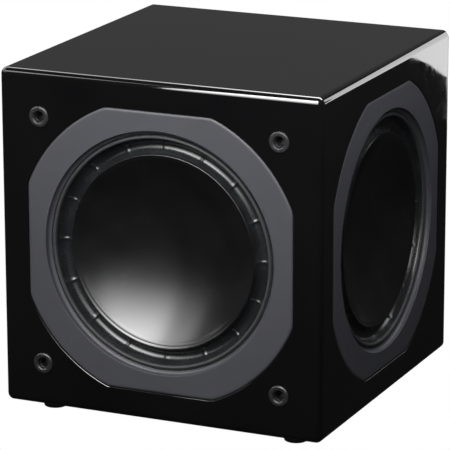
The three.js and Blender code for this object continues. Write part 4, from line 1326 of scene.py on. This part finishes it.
# ------------------------------------------------------------------ CAD pieces kept inside the box
# node, material, edge easing in mm
for node, material, ease in (("brace", WOOD, 0.8), ("amp_board", BOARD, 0.15),
                             ("amp_heatsink", ALU, 0.3), ("amp_transformer", STEEL, 0.5),
                             ("speaker_cable", CABLE, 0.0)):
    obj = NODES[node]
    obj.data.materials.clear()
    obj.data.materials.append(material)
    for face in obj.data.polygons:
        face.material_index = 0
        face.use_smooth = node == "speaker_cable"
    if ease:
        mod = obj.modifiers.new("ease", "BEVEL")
        mod.width, mod.segments, mod.limit_method = ease * MM, 2, "ANGLE"
        mod.angle_limit = math.radians(30)
        mod.harden_normals = False

# ------------------------------------------------------------------ camera, in metres
CAMERA_AT = (1.00574, -2.24002, 0.81059)
CAMERA_RIGHT = (0.91120, 0.41197, -0.00258)
CAMERA_UP = (-0.10773, 0.24431, 0.96370)
CAMERA_AHEAD = (-0.39764, 0.87784, -0.26699)


def camera():
    data = bpy.data.cameras.new("photo_camera")
    data.lens, data.sensor_width, data.sensor_fit = 252.94, 36.0, "HORIZONTAL"
    data.clip_end = 100.0
    obj = bpy.data.objects.new("photo_camera", data)
    scene.collection.objects.link(obj)
    rows = [(right, up, -ahead, at) for right, up, ahead, at
            in zip(CAMERA_RIGHT, CAMERA_UP, CAMERA_AHEAD, CAMERA_AT)]
    obj.matrix_world = Matrix(rows + [(0, 0, 0, 1)])
    scene.camera = obj


camera()
scene.view_settings.view_transform = "Standard"
scene.view_settings.look = "None"
scene.view_settings.exposure = 0.0

# ------------------------------------------------------------------ light cards, in metres
# receiver collections: the lacquered shell alone, and everything but the shell
SHELL_ONLY = bpy.data.collections.new("mirrored_in_the_lacquer")
SHELL_ONLY.objects.link(bpy.data.objects["cabinet_shell"])
NOT_SHELL = bpy.data.collections.new("not_mirrored_in_the_lacquer")
NOT_SHELL.objects.link(bpy.data.objects["cabinet_shell"])
NOT_SHELL.collection_objects[0].light_linking.link_state = "EXCLUDE"


def edge_share(tree):
    """1 for rays that come off the rounded front edge, nearly 0 for those off the flat top."""
    geometry = tree.nodes.new("ShaderNodeNewGeometry")
    point, back = (tree.nodes.new("ShaderNodeSeparateXYZ") for _ in range(2))
    tree.links.new(geometry.outputs["Position"], point.inputs[0])
    tree.links.new(geometry.outputs["Incoming"], back.inputs[0])
    # follow the ray back to the height of the top, and see how far forward it is there
    run = calc(tree, "DIVIDE", calc(tree, "SUBTRACT", Z_HIGH * MM, point.outputs["Z"]),
               back.outputs["Z"])
    y_top = calc(tree, "ADD", point.outputs["Y"],
                 calc(tree, "MULTIPLY", run, back.outputs["Y"]))
    edge_end, flat_share = (Y_FRONT + EDGE + 0.6) * MM, 0.006
    return calc(tree, "MAXIMUM", calc(tree, "LESS_THAN", y_top, edge_end), flat_share)


def calc(tree, operation, first, second):
    node = tree.nodes.new("ShaderNodeMath")
    node.operation = operation
    for socket, value in zip(node.inputs, (first, second)):
        if isinstance(value, float):
            socket.default_value = value
        else:
            tree.links.new(value, socket)
    return node.outputs[0]


def card_material(name, strength, ramp, edge_only):
    mat = bpy.data.materials.new(name)
    mat.use_nodes = True
    tree = mat.node_tree
    new, link = tree.nodes.new, tree.links.new
    tree.nodes.clear()
    out = new("ShaderNodeOutputMaterial")
    glow = new("ShaderNodeEmission")
    glow.inputs[0].default_value = (1, 1, 1, 1)
    glow.inputs[1].default_value = strength
    if ramp:
        axis, start, end = ramp
        coord = new("ShaderNodeTexCoord")
        split = new("ShaderNodeSeparateXYZ")
        fade = new("ShaderNodeMapRange")
        link(coord.outputs["Object"], split.inputs[0])
        link(split.outputs[axis], fade.inputs[0])
        for i, value in enumerate((start, end, 0.0, strength), 1):
            fade.inputs[i].default_value = value
        level = fade.outputs[0]
        if edge_only:
            level = calc(tree, "MULTIPLY", level, edge_share(tree))
        link(level, glow.inputs[1])
    # added to a clear shader, so that no card hides another one
    both, clear = new("ShaderNodeAddShader"), new("ShaderNodeBsdfTransparent")
    link(glow.outputs[0], both.inputs[0])
    link(clear.outputs[0], both.inputs[1])
    link(both.outputs[0], out.inputs[0])
    return mat


def card(name, corners, strength, ramp=None, diffuse=True, glossy=True, receivers=None,
         edge_only=False):
    """A flat light, unseen by the camera. ramp = (axis, from, to) fades it in linearly;
    edge_only needs a ramp."""
    mesh = bpy.data.meshes.new(name)
    mesh.from_pydata(corners, [], [tuple(range(len(corners)))])
    obj = bpy.data.objects.new(name, mesh)
    scene.collection.objects.link(obj)
    mesh.materials.append(card_material(name, strength, ramp, edge_only))
    obj.visible_camera = False
    obj.visible_diffuse = diffuse
    obj.visible_glossy = glossy
    obj.visible_shadow = False
    if receivers:
        obj.light_linking.receiver_collection = receivers


def wide_card(name, x, y, z, strength, **options):
    """Spans x; its two long edges are at the first and the second y and z."""
    card(name, [(x[0], y[0], z[0]), (x[1], y[0], z[0]), (x[1], y[1], z[1]), (x[0], y[1], z[1])],
         strength, **options)


def side_card(name, x, y, z, strength, **options):
    """Spans y; its two long edges are at the first and the second x and z."""
    card(name, [(x[0], y[0], z[0]), (x[0], y[1], z[0]), (x[1], y[1], z[1]), (x[1], y[0], z[1])],
         strength, **options)


SOFTBOX_Y, SOFTBOX_Z = (-1.5, -1.5), (0.30, 2.3)
SOFTBOX_RAMP = ("Z", 0.30, 1.36)

# the big softbox in front and above, fading out downwards, and its dim foot
wide_card("softbox_front", x=(-0.74, 0.52), y=SOFTBOX_Y, z=SOFTBOX_Z, strength=16.0,
          ramp=SOFTBOX_RAMP, receivers=NOT_SHELL)
wide_card("softbox_foot", x=(-0.74, 0.52), y=(-1.498, -1.498), z=(0.0, 0.55), strength=0.22,
          receivers=NOT_SHELL)
# its dimmer wings: the light that runs on round the surround's roll
for name, span in (("wing_left", (-1.7, -0.74)), ("wing_right", (0.52, 1.7))):
    wide_card(name, x=span, y=SOFTBOX_Y, z=SOFTBOX_Z, strength=4.5, ramp=SOFTBOX_RAMP,
              receivers=NOT_SHELL)
# the same softbox as the lacquered edges mirror it
card("softbox_mirror",
     [(-0.60, -1.502, 0.3), (0.62, -1.502, 0.3), (0.62, -1.502, 2.6), (-0.93, -1.502, 2.6)],
     strength=34.0, ramp=SOFTBOX_RAMP, receivers=SHELL_ONLY, edge_only=True)
wide_card("wing_mirror", x=(-1.6, -1.0), y=(-1.504, -1.504), z=(0.95, 2.3), strength=8.0,
          ramp=("X", -1.0, -1.2), receivers=SHELL_ONLY, edge_only=True)
# the dim backdrop that the top mirrors, and the lit strip of it that the right side mirrors
wide_card("backdrop_left", x=(-2.2, 0.30), y=(0.95, 0.95), z=(0.10, 1.25), strength=0.100,
          diffuse=False)
# outline of the strip's lower part, (x, z)
BACKDROP_OUTLINE = [
    (0.30, 0.0), (0.426, 0.0), (0.430, 0.046), (0.438, 0.050), (0.450, 0.058), (0.464, 0.063),
    (0.50, 0.068), (0.64, 0.075), (0.64, 0.15), (0.30, 0.15),
]
card("backdrop_right", [(x, 0.92, z) for x, z in BACKDROP_OUTLINE], strength=3.7,
     diffuse=False, receivers=SHELL_ONLY)
wide_card("backdrop_edge", x=(0.0, 0.64), y=(0.92, 0.92), z=(0.15, 0.60), strength=3.7,
          diffuse=False, receivers=SHELL_ONLY)
# a high strip behind: the light line along the top front edge, and light for the rear
wide_card("strip_back", x=(-2.0, 1.2), y=(1.3, 0.9), z=(1.5, 2.3), strength=5.0)
wide_card("strip_mirror", x=(-1.1, 1.2), y=(1.31, 0.91), z=(1.45, 2.3), strength=12.0,
          ramp=("X", -0.95, -0.62), diffuse=False, receivers=SHELL_ONLY)
# a soft fill from the left
side_card("fill_left", x=(-1.7, -1.3), y=(-0.8, 0.8), z=(0.7, 1.9), strength=3.0)
# near strips above the front and the right side, kept out of all reflections
wide_card("near_front", x=(-0.45, 0.45), y=(-0.30, -0.22), z=(0.36, 0.44), strength=6.5,
          glossy=False)
side_card("near_right", x=(0.29, 0.21), y=(-0.40, 0.40), z=(0.36, 0.44), strength=8.0,
          glossy=False)
side_card("near_right_mirror", x=(0.292, 0.212), y=(-0.40, 0.40), z=(0.36, 0.44),
          strength=14.0, glossy=False, receivers=SHELL_ONLY)


# ------------------------------------------------------------------ floor and world
def floor():
    """White to the camera, nearly black in reflections, dark grey to diffuse light, and clear
    from below."""
    edit = bmesh.new()
    bmesh.ops.create_grid(edit, x_segments=1, y_segments=1, size=6.0)
    mesh = bpy.data.meshes.new("floor")
    edit.to_mesh(mesh)
    edit.free()
    obj = bpy.data.objects.new("floor", mesh)
    scene.collection.objects.link(obj)
    obj.location.z = -0.0006
    mat = bpy.data.materials.new("floor")
    mat.use_nodes = True
    new, link = mat.node_tree.nodes.new, mat.node_tree.links.new
    mat.node_tree.nodes.clear()
    out = new("ShaderNodeOutputMaterial")
    path = new("ShaderNodeLightPath")
    geometry = new("ShaderNodeNewGeometry")
    white = new("ShaderNodeEmission")
    white.inputs[0].default_value = (1, 1, 1, 1)
    white.inputs[1].default_value = 1.0
    dark = new("ShaderNodeEmission")
    dark.inputs[1].default_value = 0.02
    bounce = new("ShaderNodeBsdfDiffuse")
    bounce.inputs[0].default_value = (0.12, 0.12, 0.125, 1)
    clear = new("ShaderNodeBsdfTransparent")
    mixes = [new("ShaderNodeMixShader") for _ in range(3)]
    shader = bounce.outputs[0]
    for mix, test, other in zip(
            mixes,
            (path.outputs["Is Glossy Ray"], path.outputs["Is Camera Ray"],
             geometry.outputs["Backfacing"]),
            (dark, white, clear)):
        link(test, mix.inputs[0])
        link(shader, mix.inputs[1])
        link(other.outputs[0], mix.inputs[2])
        shader = mix.outputs[0]
    link(shader, out.inputs[0])
    mesh.materials.append(mat)


def studio():
    """A world that is white to the camera and nearly black to everything else."""
    world = bpy.data.worlds.new("studio")
    scene.world = world
    world.use_nodes = True
    new, link = world.node_tree.nodes.new, world.node_tree.links.new
    world.node_tree.nodes.clear()
    out = new("ShaderNodeOutputWorld")
    path = new("ShaderNodeLightPath")
    white, dark = new("ShaderNodeBackground"), new("ShaderNodeBackground")
    for background, strength in ((white, 1.0), (dark, 0.03)):
        background.inputs[0].default_value = (1, 1, 1, 1)
        background.inputs[1].default_value = strength
    mix = new("ShaderNodeMixShader")
    link(path.outputs["Is Camera Ray"], mix.inputs[0])
    link(dark.outputs[0], mix.inputs[1])
    link(white.outputs[0], mix.inputs[2])
    link(mix.outputs[0], out.inputs[0])


floor()
studio()
